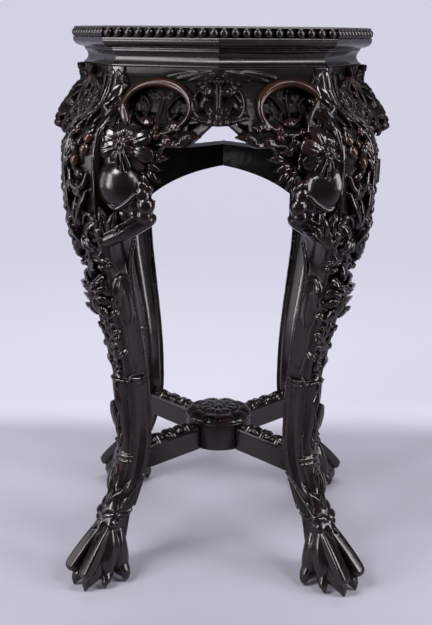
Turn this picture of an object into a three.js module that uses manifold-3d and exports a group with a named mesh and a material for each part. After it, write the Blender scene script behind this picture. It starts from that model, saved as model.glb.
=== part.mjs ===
// Octagonal hardwood display stand with a beaded rim, pierced aprons, cabriole legs and an X stretcher.
// Units are millimetres, +Z is up, and the origin is on the floor under the middle of the top.
// Legs stand under the four diagonal corners of the octagon; the other four corners carry the apron mitres.

import * as THREE from 'three';
import { mergeVertices } from 'three/addons/utils/BufferGeometryUtils.js';
import Module from 'manifold-3d';

const wasm = await Module();
wasm.setup();

// Octagon
const SIDES = 8;
const HALF_TURN = Math.PI / SIDES;
const COS = Math.cos(HALF_TURN);
const SIN = Math.sin(HALF_TURN);
const TAN = Math.tan(HALF_TURN);

// Clearance left between two pieces that meet
const fit = 0.3;

// Heights of the stacked members
const legHeight = 767.7;
const waistHeight = 21.7;
const railHeight = 30;

// Top frame, radii taken at the octagon's corners
const rimRadius = 223.3;
const frameInnerRadius = 168;
const rimThickness = 5;
const rimRounding = 8.5;
const beadsPerSide = 11;
const beadHeight = 9.4;
const beadProud = 2.6;
const beadSeatDepth = 3.6;
const filletHeight = 3.4;
const frameFootStep = 1.4;
const frameTongueThickness = 6.4;
const frameTongueDepth = 9;
const frameTongueWidth = 12;
const frameTongueRise = 10;
const frameTongueSetback = 18.3;

// Floating panel in the frame and the batten under it
const panelThickness = 7;
const panelTongue = 8;
const panelRise = 10;
const panelRecess = 0.6;
const battenWidth = 40;
const battenHeight = 10;
const battenTenonWidth = 24;
const battenTenonLength = 6.5;
const battenTenonThickness = 6;

// Waist
const waistRadius = 205;
const waistLipRadius = 206.8;
const waistThroatDepth = 4.2;
const waistInnerRadius = 190;
const waistFillet = 2;
const waistTongueWidth = 4;
const waistTongueHeight = 4.5;
const waistTongueSetback = 2;

// Apron and knee: radii at the octagon's corners, heights measured down from the top of the legs
const fasciaRadius = 208;
const fasciaHeight = 25;
const kneeRadius = 243.5;
const swellHeight = 100;
const apronInnerRadius = 190;
const boardReach = 57;
const spandrelDrop = 222.7;
const cuspDrop = 100.7;
const peakDrop = 72.7;
const ringDrop = 52.7;
const lobeDrop = 42.7;

// Carved elevation of a board, lengths along its side measured from the side's middle
const cuspStart = 16;
const cuspEnd = 54;
const peakWidth = 7;
const archRise = 38;
const archBandHeight = 36;
const ringWidth = 50;
const ringHeight = 33;
const ringBar = 4.6;
const stemWidth = 12;
const leafWidth = 10;
const lobeCentre = 64;
const lobeWidth = 16;
const lobeHeight = 19;
const lobeBar = 3.2;
const gapWidth = 20;
const gapHeight = 12;
const branchRadius = 11;
const knobRadius = 15;
const bossReach = 256;
const bossWidth = 17;
const bossHeight = 24;
const bossRise = 8;
const flowerRadius = 27;
const flowerTaper = 0.45;
const flowerReach = 17;
const flowerDrop = 119;
const reliefInset = 1;
const fruitWidth = 20;
const fruitHeight = 23;
const fruitReach = 19;
const fruitDrop = 152;
const spandrelThickness = 20;
const undercutStart = -30;
const undercutRise = 14;
const boardTenonLength = 8;
const boardTenonThickness = 7;
const boardTenonShoulder = 18;
const mitreTongueWidth = 14;
const mitreTongueThickness = 6;
const mitreTongueHeight = 20;

// Leg
const shankWidth = 35;
const shankDepth = 37;
const shankInnerRadius = 158;
const shankLevel = 226;
const kneeInnerRadius = 182;
const kneeInnerWidth = 40;
const kneeStemWidth = 66;
const kneeTuck = 2;
const kneeFrontRadius = 263;
const kneeFrontShare = 0.92;
const shoulderHeight = 53;
const stemFrontRadius = 257;
const stemChamfer = 5;
const sprigLevel = 462;
const sprigWidth = 25;
const sprigHeight = 25;
const sprigReach = 15;
const bambooNodes = [318, 190, 98];
const bambooNodeSwell = 2.6;
const bambooNodeHeight = 14;
const tenonWidth = 22;
const tenonDepth = 12;
const tenonRise = 7.5;
const tenonInset = 1;

// Foot
const toeReach = 292;
const toeSpread = 17;
const toeWidth = 19;
const toeHeight = 19;
const toeTipHeight = 36;
const toeLength = 52;
const soleWidth = 59;
const soleHeight = 12;
const nailLength = 34;
const nailWidth = 22;
const clawSpread = 29;
const clawRadius = 232;
const clawPitch = 22;
const clawHeight = 28;
const clawWidth = 19;
const tipWidth = 7;

// Stretcher
const stretcherBottom = 163;
const armHeight = 38;
const armWidth = 27;
const armCrest = 8;
const armTenonWidth = 13;
const armTenonHeight = 26;
const armTenonLength = 20;
const hubRadius = 55;
const hubHeight = 44;
const hubHousing = 5.5;
const hubTenonLength = 13;
const rosetteRadius = 54.5;
const rosetteRim = 6;
const rosetteDome = 8;
const rosetteLobes = 10;
const rosetteFlare = 1.01;
const rosetteScallop = 0.035;
const pegRadius = 9;
const pegLength = 15;

// How far a tenon's or a cutter's root runs into the solid behind it
const root = 10;

// How far a facet of the leg stands inside the curve that it follows
const facetStep = 0.4;

// Levels that follow from the sizes above
const waistBottom = legHeight + fit;
const waistTop = waistBottom + waistHeight;
const railBottom = waistTop + fit;
const railTop = railBottom + railHeight;
const beadTop = railTop - rimThickness;
const beadBottom = beadTop - beadHeight;
const panelTop = railTop - panelRecess;
const panelShoulder = panelTop - panelRise;
const panelBottom = panelShoulder - panelThickness;
const fasciaFoot = legHeight - fasciaHeight;
const swellFoot = fasciaFoot - swellHeight;
const spandrelFoot = legHeight - spandrelDrop;
const cuspLevel = legHeight - cuspDrop;
const peakLevel = legHeight - peakDrop;
const ringLevel = legHeight - ringDrop;
const lobeLevel = legHeight - lobeDrop;
const armMiddle = stretcherBottom + armHeight / 2;

// Radii that follow from the sizes above
const shankOuterRadius = shankInnerRadius + shankDepth;
const tenonRadius = kneeInnerRadius + tenonInset + tenonDepth / 2;
const beadSeat = rimRadius * COS - beadSeatDepth;
const waistTongueFace = (waistRadius - waistTongueSetback) * COS;

// Materials
const darkWood = { color: 0x24181a, roughness: 0.32, metalness: 0 };
const redWood = { color: 0x3a2220, roughness: 0.36, metalness: 0 };
const innerWood = { color: 0x3b2a22, roughness: 0.6, metalness: 0 };

const stand = new THREE.Group();

function addPiece(name, geometry, finish, turn = 0) {
  const mesh = new THREE.Mesh(geometry, new THREE.MeshStandardMaterial(finish));
  mesh.name = name;
  mesh.rotation.z = turn;
  stand.add(mesh);
  return mesh;
}

// Solids

function toManifold(geometry) {
  const plain = geometry.clone();
  plain.deleteAttribute('normal');
  plain.deleteAttribute('uv');
  const merged = mergeVertices(plain, 1e-4);
  const triVerts = new Uint32Array(merged.index.array);
  const vertProperties = new Float32Array(merged.attributes.position.array);
  return new wasm.Manifold(new wasm.Mesh({ numProp: 3, vertProperties, triVerts }));
}

function toGeometry(solid) {
  const mesh = solid.getMesh();
  const geometry = new THREE.BufferGeometry();
  geometry.setAttribute('position', new THREE.BufferAttribute(mesh.vertProperties, 3));
  geometry.setIndex(new THREE.BufferAttribute(mesh.triVerts, 1));
  return geometry;
}

function signedVolume(positions, index) {
  const a = new THREE.Vector3();
  const b = new THREE.Vector3();
  const c = new THREE.Vector3();
  let sum = 0;
  for (let i = 0; i < index.length; i += 3) {
    a.fromArray(positions, index[i] * 3);
    b.fromArray(positions, index[i + 1] * 3);
    c.fromArray(positions, index[i + 2] * 3);
    sum += a.dot(b.cross(c));
  }
  return sum;
}

// A skin through rings of equal point counts. Open lofts are capped by the ring flattened with flat(point).
function loft(rings, flat = null) {
  const count = rings[0].length;
  const positions = rings.flat().flatMap((point) => [point.x, point.y, point.z]);
  const index = [];
  const spans = flat ? rings.length - 1 : rings.length;
  for (let ring = 0; ring < spans; ring += 1) {
    const next = (ring + 1) % rings.length;
    for (let i = 0; i < count; i += 1) {
      const j = (i + 1) % count;
      const a = ring * count + i;
      const b = ring * count + j;
      const c = next * count + j;
      const d = next * count + i;
      index.push(a, b, c, a, c, d);
    }
  }
  if (flat) {
    capRing(rings[0], 0, flat, index, true);
    capRing(rings.at(-1), (rings.length - 1) * count, flat, index, false);
  }
  if (signedVolume(positions, index) < 0) index.reverse();
  const geometry = new THREE.BufferGeometry();
  geometry.setAttribute('position', new THREE.Float32BufferAttribute(positions, 3));
  geometry.setIndex(index);
  return geometry;
}

function capRing(ring, offset, flat, index, first) {
  const outline = ring.map(flat);
  const counterClockwise = !THREE.ShapeUtils.isClockWise(outline);
  for (const face of THREE.ShapeUtils.triangulateShape(outline, [])) {
    const [a, b, c] = face.map((corner) => corner + offset);
    if (first === counterClockwise) index.push(a, c, b);
    else index.push(a, b, c);
  }
}

const flatXY = (point) => new THREE.Vector2(point.x, point.y);
const flatYZ = (point) => new THREE.Vector2(point.y, point.z);
const flatXZ = (point) => new THREE.Vector2(point.x, point.z);

function box(width, depth, height, x, y, z, turn = 0) {
  const geometry = new THREE.BoxGeometry(width, depth, height);
  geometry.translate(x, y, z);
  geometry.rotateZ(turn);
  return toManifold(geometry);
}

// The same piece for the other hand
function mirrored(solid) {
  return solid.mirror([1, 0, 0]);
}

// A bar of one profile between two end planes. Profile points hold (y, z).
// The ends are x = start(y) and x = end(y).
function endedBar(profile, start, end) {
  const ringAt = (place) => profile.map(([y, z]) => new THREE.Vector3(place(y), y, z));
  return toManifold(loft([ringAt(start), ringAt(end)], flatYZ));
}

// The end plane of a mitre at a corner of the octagon, half a clearance short of the corner
const mitreEnd = (y) => y * TAN - fit / (2 * COS);
const mitreStart = (y) => -mitreEnd(y);

// A value read at height z from a few [z, value] stations, with a smooth curve between them
function along(stations, z) {
  const last = stations.length - 1;
  if (z >= stations[0][0]) return stations[0][1];
  if (z <= stations[last][0]) return stations[last][1];
  let i = 0;
  while (stations[i + 1][0] > z) i += 1;
  const [zA, a] = stations[i];
  const [zB, b] = stations[i + 1];
  const slopeAt = (k) => {
    const before = stations[Math.max(k - 1, 0)];
    const after = stations[Math.min(k + 1, last)];
    return (after[1] - before[1]) / (after[0] - before[0]);
  };
  const span = zB - zA;
  const u = (z - zA) / span;
  const h1 = (1 + 2 * u) * (1 - u) ** 2;
  const h2 = u * (1 - u) ** 2 * span;
  const h3 = u * u * (3 - 2 * u);
  const h4 = u * u * (u - 1) * span;
  return h1 * a + h2 * slopeAt(i) + h3 * b + h4 * slopeAt(i + 1);
}

// Outer line of knee and apron: a plain fascia, then a swell out to the knee.
// Each row of the swell holds its share of the drop and its share of the step outwards.
const swellCurve = [[0, 0.03], [0.33, 0.45], [0.6, 0.86], [1, 1]];
const kneeLine = [
  [legHeight, fasciaRadius],
  ...swellCurve.map(([drop, step]) => [
    fasciaFoot - swellHeight * drop,
    fasciaRadius + (kneeRadius - fasciaRadius) * step,
  ]),
  [spandrelFoot, kneeRadius - kneeTuck],
];
const kneeRadiusAt = (z) => along(kneeLine, z);
const swellLevels = [0, 0.2, 0.4, 0.65, 1].map((drop) => fasciaFoot - swellHeight * drop);

// Corner joints of the top frame: a tongue on one rail and its mortise in the next
function railTongue(hand, clearance) {
  const grow = 2 * clearance;
  const z = railBottom + frameTongueRise;
  const width = 2 * frameTongueDepth + grow;
  const depth = frameTongueWidth + grow;
  const radius = rimRadius - frameTongueSetback;
  return box(width, depth, frameTongueThickness + grow, 0, radius, z, -hand * HALF_TURN);
}

function railProfile() {
  const inner = frameInnerRadius * COS;
  const rim = rimRadius * COS;
  const grooveOuter = waistTongueFace + fit;
  const grooveInner = waistTongueFace - waistTongueWidth - fit;
  const grooveTop = railBottom + waistTongueHeight + fit;
  const panelGroove = inner + panelTongue + 2 * fit;
  const ovoloTop = beadBottom - filletHeight;
  const ovoloFoot = railBottom + frameFootStep;
  const foot = waistRadius * COS + frameFootStep;
  const ovolo = [];
  const ovoloSteps = 3;
  for (let i = 0; i <= ovoloSteps; i += 1) {
    const turn = (i / ovoloSteps) * (Math.PI / 2);
    ovolo.push([foot + (rim - foot) * Math.cos(turn), ovoloTop - (ovoloTop - ovoloFoot) * Math.sin(turn)]);
  }
  return [
    [inner, railTop],
    [rim - rimRounding, railTop],
    [rim - rimRounding * 0.5, railTop - rimThickness * 0.32],
    [rim - rimRounding * 0.3, railTop - rimThickness * 0.84],
    [beadSeat, beadTop],
    [beadSeat, beadBottom],
    [rim, beadBottom - 0.8],
    ...ovolo,
    [foot, railBottom],
    [grooveOuter, railBottom],
    [grooveOuter, grooveTop],
    [grooveInner, grooveTop],
    [grooveInner, railBottom],
    [inner, railBottom],
    [inner, panelBottom - fit],
    [panelGroove, panelBottom - fit],
    [panelGroove, panelShoulder + fit],
    [inner, panelShoulder + fit],
  ];
}

// Upright oval beads side by side on their seat under the rim
function beads() {
  const sideLength = 2 * beadSeat * TAN;
  const pitch = sideLength / beadsPerSide;
  const reach = rimRadius * COS + beadProud - beadSeat;
  const list = [];
  for (let i = 0; i < beadsPerSide; i += 1) {
    const bead = new THREE.SphereGeometry(1, 6, 3);
    bead.rotateX(Math.PI / 2);
    bead.scale(pitch * 0.47, reach, beadHeight * 0.49);
    bead.translate(-sideLength / 2 + pitch * (i + 0.5), beadSeat, (beadTop + beadBottom) / 2);
    list.push(toManifold(bead));
  }
  return wasm.Manifold.union(list);
}

// Leg tenon that rises behind the waist into the frame corner
function legTenon(clearance) {
  const grow = 2 * clearance;
  const bottom = legHeight - root;
  const top = railBottom + tenonRise + clearance;
  return box(tenonWidth + grow, tenonDepth + grow, top - bottom, 0, tenonRadius, (top + bottom) / 2);
}

function battenTenon(clearance) {
  const grow = 2 * clearance;
  const reach = frameInnerRadius * COS;
  const z = panelBottom - fit - battenHeight / 2;
  const length = battenTenonLength + root + clearance;
  const y = reach - root + length / 2;
  return box(battenTenonWidth + grow, length, battenTenonThickness + grow, 0, y, z);
}

// In side frames +X runs from the leg corner to the apron's mitre, and +Y points out of the side.
function topRail(tongues, battenMortise) {
  let rail = trimToMitres(endedBar(railProfile(), mitreStart, mitreEnd).add(beads()));
  rail = rail.subtract(legTenon(fit).rotate([0, 0, 180 / SIDES]));
  if (tongues) {
    rail = rail.add(railTongue(1, 0)).add(railTongue(-1, 0));
  } else {
    rail = rail.subtract(railTongue(1, fit)).subtract(railTongue(-1, fit));
  }
  if (battenMortise) rail = rail.subtract(battenTenon(fit));
  return rail;
}

// Beads never cross the mitre planes
function trimToMitres(solid) {
  const outer = rimRadius + root;
  const inner = frameInnerRadius / 2;
  const outline = new THREE.Shape([
    new THREE.Vector2(mitreStart(inner), inner),
    new THREE.Vector2(mitreEnd(inner), inner),
    new THREE.Vector2(mitreEnd(outer), outer),
    new THREE.Vector2(mitreStart(outer), outer),
  ]);
  const wedge = new THREE.ExtrudeGeometry(outline, { depth: railTop + root, bevelEnabled: false });
  return solid.intersect(toManifold(wedge));
}

function waistProfile() {
  const inner = waistInnerRadius * COS;
  const face = waistRadius * COS;
  const lip = waistLipRadius * COS;
  const throat = face - waistThroatDepth;
  const top = waistTop - waistFillet;
  const foot = waistBottom + waistFillet;
  const tongueTop = waistTop + fit + waistTongueHeight;
  const cavetto = [];
  const steps = 5;
  for (let i = 0; i <= steps; i += 1) {
    const u = i / steps;
    const edge = face + (lip - face) * u;
    cavetto.push([edge - (edge - throat) * Math.sin(Math.PI * u) ** 0.8, top + (foot - top) * u]);
  }
  return [
    [face, waistTop],
    ...cavetto,
    [lip, waistBottom],
    [inner, waistBottom],
    [inner, waistTop],
    [waistTongueFace - waistTongueWidth, waistTop],
    [waistTongueFace - waistTongueWidth, tongueTop],
    [waistTongueFace, tongueTop],
    [waistTongueFace, waistTop],
  ];
}

function waistPiece() {
  const bar = endedBar(waistProfile(), mitreStart, mitreEnd);
  return bar.subtract(legTenon(fit).rotate([0, 0, 180 / SIDES]));
}

// Apron board: the swelling profile cut to the shape of its carved elevation

const boardFoot = spandrelFoot - branchRadius;
const boardRoom = kneeRadius + 4 * root;

function boardProfile() {
  const levels = [legHeight, ...swellLevels, (swellFoot + boardFoot) / 2, boardFoot];
  const outer = levels.map((z) => [kneeRadiusAt(z) * COS, z]);
  const inner = apronInnerRadius * COS;
  return [...outer, [inner, boardFoot], [inner, legHeight]];
}

// A solid that runs right through the board, cut to an outline drawn in (x, z)
function throughBoard(outline) {
  const depth = boardRoom - apronInnerRadius / 2;
  const solid = new THREE.ExtrudeGeometry(outline, { depth, curveSegments: 4, bevelEnabled: false });
  solid.rotateX(Math.PI / 2);
  solid.translate(0, boardRoom, 0);
  return toManifold(solid);
}

// The lower edge rises from the leg to a flat cusp and a peak at the mitre.
// Arched boards add a plain band below, with an opening between it and the cusp.
function boardElevation(arched) {
  const mitre = kneeRadius * SIN;
  const far = mitre + root;
  const top = legHeight + 1;
  const knobLevel = spandrelFoot + archRise;
  const bandFoot = knobLevel + root;
  const bandTop = bandFoot + archBandHeight;
  const outline = new THREE.Shape();
  outline.moveTo(-boardReach, top);
  outline.lineTo(-boardReach, spandrelFoot);
  if (arched) {
    outline.quadraticCurveTo(0, bandFoot - 6, far, bandFoot);
    outline.lineTo(far, bandTop);
    outline.lineTo(cuspStart - 2, bandTop - 6);
    outline.quadraticCurveTo(2, bandTop + 6, 6, cuspLevel - 12);
  } else {
    outline.lineTo(-4, knobLevel - archRise / 2);
    outline.quadraticCurveTo(6, knobLevel - 4, -6, knobLevel + 22);
    outline.quadraticCurveTo(-4, cuspLevel - 18, 8, cuspLevel - 8);
  }
  outline.lineTo(cuspStart, cuspLevel);
  outline.lineTo(cuspEnd, cuspLevel);
  outline.lineTo(mitre - peakWidth, peakLevel);
  outline.lineTo(far, peakLevel);
  outline.lineTo(far, top);
  outline.closePath();
  return outline;
}

// A pierced quarter of the ring, between the stem and the leaves that cross it
function ringOpening(sideX, sideZ) {
  const halfWidth = ringWidth - 1.6 * ringBar;
  const halfHeight = ringHeight - 1.4 * ringBar;
  const opening = new THREE.Shape();
  opening.moveTo(sideX * stemWidth / 2, ringLevel + sideZ * leafWidth / 2);
  const steps = 4;
  for (let i = 0; i <= steps; i += 1) {
    const turn = THREE.MathUtils.lerp(0.16, 1.31, i / steps);
    opening.lineTo(sideX * halfWidth * Math.cos(turn), ringLevel + sideZ * halfHeight * Math.sin(turn));
  }
  opening.closePath();
  return throughBoard(opening);
}

function lobeOpening() {
  const opening = new THREE.Shape();
  const halfWidth = lobeWidth - 2 * lobeBar;
  const halfHeight = lobeHeight - 2 * lobeBar;
  opening.absellipse(lobeCentre, lobeLevel, halfWidth, halfHeight, 0, Math.PI * 2, false);
  return throughBoard(opening);
}

// The small three-sided gap under the lobe
function cuspGap() {
  const start = lobeCentre - 0.75 * gapWidth;
  const bottom = cuspLevel + lobeHeight;
  return throughBoard(new THREE.Shape([
    new THREE.Vector2(start, bottom + gapHeight),
    new THREE.Vector2(start, bottom),
    new THREE.Vector2(start + gapWidth, bottom + gapHeight),
  ]));
}

function openings() {
  const quarters = [[-1, -1], [-1, 1], [1, -1], [1, 1]].map(([sideX, sideZ]) => ringOpening(sideX, sideZ));
  return wasm.Manifold.union([...quarters, lobeOpening(), cuspGap()]);
}

// A round bar bent into an oval that lies on the swelling face
function ovalBar(centreX, centreZ, halfWidth, halfHeight, bar, steps) {
  const place = (turn) => {
    const z = centreZ + halfHeight * Math.sin(turn);
    return new THREE.Vector3(centreX + halfWidth * Math.cos(turn), kneeRadiusAt(z) * COS + bar * 0.35, z);
  };
  const sidesOfBar = 4;
  const rings = [];
  for (let i = 0; i < steps; i += 1) {
    const turn = (i / steps) * Math.PI * 2;
    const tangent = place(turn + 0.02).sub(place(turn - 0.02)).normalize();
    const across = new THREE.Vector3(0, 1, 0).cross(tangent).normalize();
    const out = tangent.clone().cross(across).normalize();
    const ring = [];
    for (let k = 0; k < sidesOfBar; k += 1) {
      const angle = (k / sidesOfBar) * Math.PI * 2;
      const offset = out.clone().multiplyScalar(Math.cos(angle) * bar);
      ring.push(place(turn).add(offset).addScaledVector(across, Math.sin(angle) * bar));
    }
    rings.push(ring);
  }
  return toManifold(loft(rings));
}

// The knotted branch that closes the foot of the spandrel
function branchAndKnob() {
  const face = kneeRadius * COS;
  const setback = branchRadius / 2;
  const from = new THREE.Vector3(-boardReach + branchRadius, face - setback, spandrelFoot);
  const to = new THREE.Vector3(-setback, face - setback, spandrelFoot + archRise - branchRadius / 2);
  const circle = new THREE.Shape();
  circle.absarc(0, 0, branchRadius, 0, Math.PI * 2, false);
  const extrudePath = new THREE.LineCurve3(from, to);
  const options = { steps: 1, extrudePath, curveSegments: 3, bevelEnabled: false };
  const branch = toManifold(new THREE.ExtrudeGeometry(circle, options));
  const heel = knob(knobRadius, knobRadius * 0.8, knobRadius * 1.15, to.x - setback, face - 2, to.z + setback);
  return branch.add(heel);
}

// Carved cluster that stands out of the span at the mitre. Two boards hold half of it each.
function mitreBoss() {
  const level = peakLevel + bossRise;
  const seat = kneeRadiusAt(level) - root;
  return knob(bossWidth, bossReach - seat, bossHeight, 0, seat, level).rotate([0, 0, -180 / SIDES]);
}

// A rounded lump with the given radii across, outwards and up
function knob(width, reach, height, x, y, z) {
  const lump = new THREE.SphereGeometry(1, 8, 5);
  lump.rotateX(Math.PI / 2);
  lump.scale(width, reach, height);
  lump.translate(x, y, z);
  return toManifold(lump);
}

// The open flower beside the joint, and the smooth fruit that hangs below it
function flowerAndFruit() {
  const level = legHeight - flowerDrop;
  const face = kneeRadiusAt(level) * COS;
  const petals = 10;
  const crown = flowerRadius * flowerTaper;
  const flower = new THREE.CylinderGeometry(crown, flowerRadius, flowerReach + root, petals);
  const left = -boardReach + reliefInset;
  flower.translate(0, (flowerReach - root) / 2, 0);
  flower.translate(left + flowerRadius, face, level);
  const fruit = knob(fruitWidth, fruitReach, fruitHeight, left + fruitWidth, face, legHeight - fruitDrop);
  return toManifold(flower).add(fruit);
}

// Behind the knots the foot of an open spandrel is cut back to a thin front
function undercut() {
  const top = cuspLevel - undercutRise;
  const depth = kneeRadius * COS - spandrelThickness;
  const width = boardReach;
  return box(width, depth, top, undercutStart + width / 2, depth / 2, top / 2);
}

function boardTenon(clearance) {
  const grow = 2 * clearance;
  const y = apronInnerRadius * COS + boardTenonThickness;
  const foot = spandrelFoot + spandrelDrop / 4;
  const top = legHeight - boardTenonShoulder;
  const length = boardTenonLength + root + clearance;
  const x = -boardReach + root - length / 2;
  return box(length, boardTenonThickness + grow, top - foot + grow, x, y, (top + foot) / 2);
}

// Short tongue across the apron's mitre
function mitreTongue(level, clearance) {
  const grow = 2 * clearance;
  const radius = apronInnerRadius + mitreTongueThickness;
  const width = mitreTongueWidth + grow;
  const height = mitreTongueHeight + grow;
  return box(width, mitreTongueThickness + grow, height, 0, radius, level, -HALF_TURN);
}

function apronBoard(arched, tongues) {
  const swelling = endedBar(boardProfile(), () => -boardReach, mitreEnd);
  let board = swelling.intersect(throughBoard(boardElevation(arched))).subtract(openings());
  if (!arched) board = board.subtract(undercut());
  board = board.add(ovalBar(0, ringLevel, ringWidth, ringHeight, ringBar, 14));
  board = board.add(ovalBar(lobeCentre, lobeLevel, lobeWidth, lobeHeight, lobeBar, 8));
  board = board.add(branchAndKnob()).add(mitreBoss()).add(flowerAndFruit());
  board = board.intersect(boardEnvelope());
  const levels = [legHeight - boardTenonShoulder];
  if (arched) levels.push(spandrelFoot + archRise + root + archBandHeight / 2);
  for (const level of levels) {
    if (tongues) board = board.add(mitreTongue(level, 0));
    else board = board.subtract(mitreTongue(level, fit));
  }
  return board.add(boardTenon(0));
}

// Room of one board: from its joint with the leg to the mitre, below the waist
function boardEnvelope() {
  const inner = apronInnerRadius / 2;
  const outline = new THREE.Shape([
    new THREE.Vector2(-boardReach, inner),
    new THREE.Vector2(mitreEnd(inner), inner),
    new THREE.Vector2(mitreEnd(boardRoom), boardRoom),
    new THREE.Vector2(-boardReach, boardRoom),
  ]);
  return toManifold(new THREE.ExtrudeGeometry(outline, { depth: legHeight, bevelEnabled: false }));
}

// Leg. In leg frames +Y points out along the diagonal and X lies across it.

// A curve of the leg is a list of rows that hold shares of a drop and of a step. Above the shank they run
// from the spandrel down to the shank, below it from the shank down to the floor.
const aboveShank = (curve, near, far) => curve.map(([height, step]) => [
  shankLevel + (spandrelFoot - shankLevel) * height,
  near + (far - near) * step,
]);
const belowShank = (curve, near, far) => curve.map(([height, step]) => [
  shankLevel * height,
  near + (far - near) * step,
]);

const legOuter = [
  ...aboveShank(
    [[1, 1], [0.91, 0.87], [0.83, 0.742], [0.67, 0.556], [0.467, 0.323], [0.263, 0.097], [0.06, 0]],
    shankOuterRadius,
    stemFrontRadius,
  ),
  ...belowShank(
    [[0.9, 0], [0.72, 0.093], [0.59, 0.206], [0.43, 0.4], [0.31, 0.67], [0.18, 0.773], [0.05, 0.732]],
    shankOuterRadius,
    toeReach,
  ),
];
const legInner = [
  [legHeight, kneeInnerRadius],
  ...aboveShank(
    [[1.11, 1], [0.86, 1.62], [0.73, 1.46], [0.56, 0.96], [0.37, 0.44], [0.19, 0.08], [0.06, 0]],
    shankInnerRadius,
    kneeInnerRadius,
  ),
  ...belowShank(
    [[0.9, 0], [0.72, 0.093], [0.59, 0.211], [0.43, 0.4], [0.265, 0.536], [0.05, 0.7]],
    shankInnerRadius,
    shankInnerRadius + toeReach - shankOuterRadius,
  ),
];
const legHalf = [
  ...aboveShank(
    [[1, 1], [0.86, 0.61], [0.67, 0.42], [0.47, 0.19], [0.23, 0.04], [0.06, 0]],
    shankWidth / 2,
    kneeStemWidth / 2,
  ),
  ...belowShank([[0.9, 0], [0.43, 0], [0.33, 0.375], [0.18, 0.917], [0.05, 1]], shankWidth / 2, soleWidth / 2),
];
const stemTop = spandrelFoot - spandrelDrop * 0.28;

// Front of the knee: from the corner of the fascia out to a broad face that looks along the diagonal
const kneeFrontCurve = [
  [0, 0.02], [0.09, 0.25], [0.165, 0.48], [0.24, 0.7], [0.317, 0.87],
  [0.42, 0.97], [0.57, 1], [0.73, 1], [0.87, 0.96],
];
const kneeFront = [
  [legHeight, fasciaRadius],
  ...kneeFrontCurve.map(([drop, step]) => [
    fasciaFoot - (fasciaFoot - spandrelFoot) * drop,
    fasciaRadius + (kneeFrontRadius - fasciaRadius) * step,
  ]),
  [spandrelFoot, stemFrontRadius],
];

// Levels of the leg's sections, from the top down, with three at each bamboo node
function legLevels() {
  const shin = [0.88, 0.72, 0.56, 0.42, 0.14].map((share) => shankLevel + (spandrelFoot - shankLevel) * share);
  const ankle = [0.72, 0.57, 0.28].map((share) => shankLevel * share);
  const knee = [legHeight, ...swellLevels, (swellFoot + spandrelFoot) / 2, spandrelFoot];
  const plain = [...knee, ...shin, shankLevel, ...ankle, soleHeight];
  const room = bambooNodeHeight * 0.75;
  const clear = plain.filter((z) => bambooNodes.every((node) => Math.abs(node - z) > room));
  const nodes = bambooNodes.flatMap((z) => [z + bambooNodeHeight / 2, z, z - bambooNodeHeight / 2]);
  return [...clear, ...nodes].sort((a, b) => b - a);
}

const nodeSwell = (z) => (bambooNodes.includes(z) ? bambooNodeSwell : 0);

// Half of a leg section: a broad front on a body that meets the boards at the knee, and a bamboo stem below
function legSection(z) {
  const isKnee = z >= spandrelFoot;
  const corner = isKnee ? kneeRadiusAt(z) : kneeRadius - kneeTuck;
  const front = (isKnee ? along(kneeFront, z) : along(legOuter, z)) + nodeSwell(z);
  const inner = along(legInner, z);
  const arm = isKnee ? corner * SIN - boardReach - fit : (along(legHalf, z) + nodeSwell(z)) / COS;
  const half = arm * COS;
  const shoulder = corner - arm * SIN;
  const knee = THREE.MathUtils.clamp((z - stemTop) / (spandrelFoot - stemTop), 0, 1);
  const thickness = COS * shoulder + SIN * half - apronInnerRadius * COS;
  const kneeEnd = [half - thickness * SIN, shoulder - thickness * COS];
  const stemEnd = [half, inner + shankDepth / 6];
  const blend = (a, b) => a + (b - a) * knee;
  const back = [blend(stemEnd[0], kneeEnd[0]), blend(stemEnd[1], kneeEnd[1])];
  const innerHalf = Math.min(half, kneeInnerWidth / 2, back[0] - 0.5);
  const broad = THREE.MathUtils.clamp((fasciaFoot - z) / shoulderHeight, 0, 1);
  const frontHalf = half * THREE.MathUtils.lerp(0.5, kneeFrontShare, broad);
  const onCorner = corner - frontHalf * TAN;
  return [
    [0, front + (1 - knee) * 2],
    [frontHalf, THREE.MathUtils.lerp(onCorner, front, broad)],
    [half, blend(front - stemChamfer, shoulder)],
    back,
    [innerHalf, inner],
  ];
}

function legRing(z) {
  const half = legSection(z);
  const near = half.map(([x, y]) => new THREE.Vector3(x, y, z));
  const far = half.slice(1).reverse().map(([x, y]) => new THREE.Vector3(-x, y, z));
  return [...near, ...far];
}

// A four-sided bar between two stations that hold a centre, a half width and a half height
function toeBar(stations) {
  const rings = stations.map(({ at, width, height, lean }) => {
    const up = new THREE.Vector3(0, Math.sin(lean), Math.cos(lean));
    const corner = (sx, sz) => new THREE.Vector3(at.x + sx * width, at.y, at.z).addScaledVector(up, sz * height);
    return [corner(-0.7, 1), corner(0.7, 1), corner(1, 0.2), corner(0.9, -1), corner(-0.9, -1), corner(-1, 0.2)];
  });
  return toManifold(loft(rings, flatXZ));
}

function toe(side) {
  const lean = 0.75;
  const width = toeWidth / 2;
  const height = toeHeight / 2;
  const tip = new THREE.Vector3(side * toeSpread, toeReach - 5, toeTipHeight);
  const back = new THREE.Vector3(side * (toeSpread - 8), tip.y - toeLength, toeTipHeight + toeLength);
  const middle = back.clone().lerp(tip, 0.6).add(new THREE.Vector3(0, 2, 3));
  const end = tip.clone().add(new THREE.Vector3(0, 5, -3));
  return toeBar([
    { at: back, width: width * 0.7, height: height * 0.8, lean },
    { at: middle, width, height, lean },
    { at: tip, width: width * 1.05, height, lean },
    { at: end, width: width * 0.6, height: height * 0.55, lean },
  ]);
}

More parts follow.
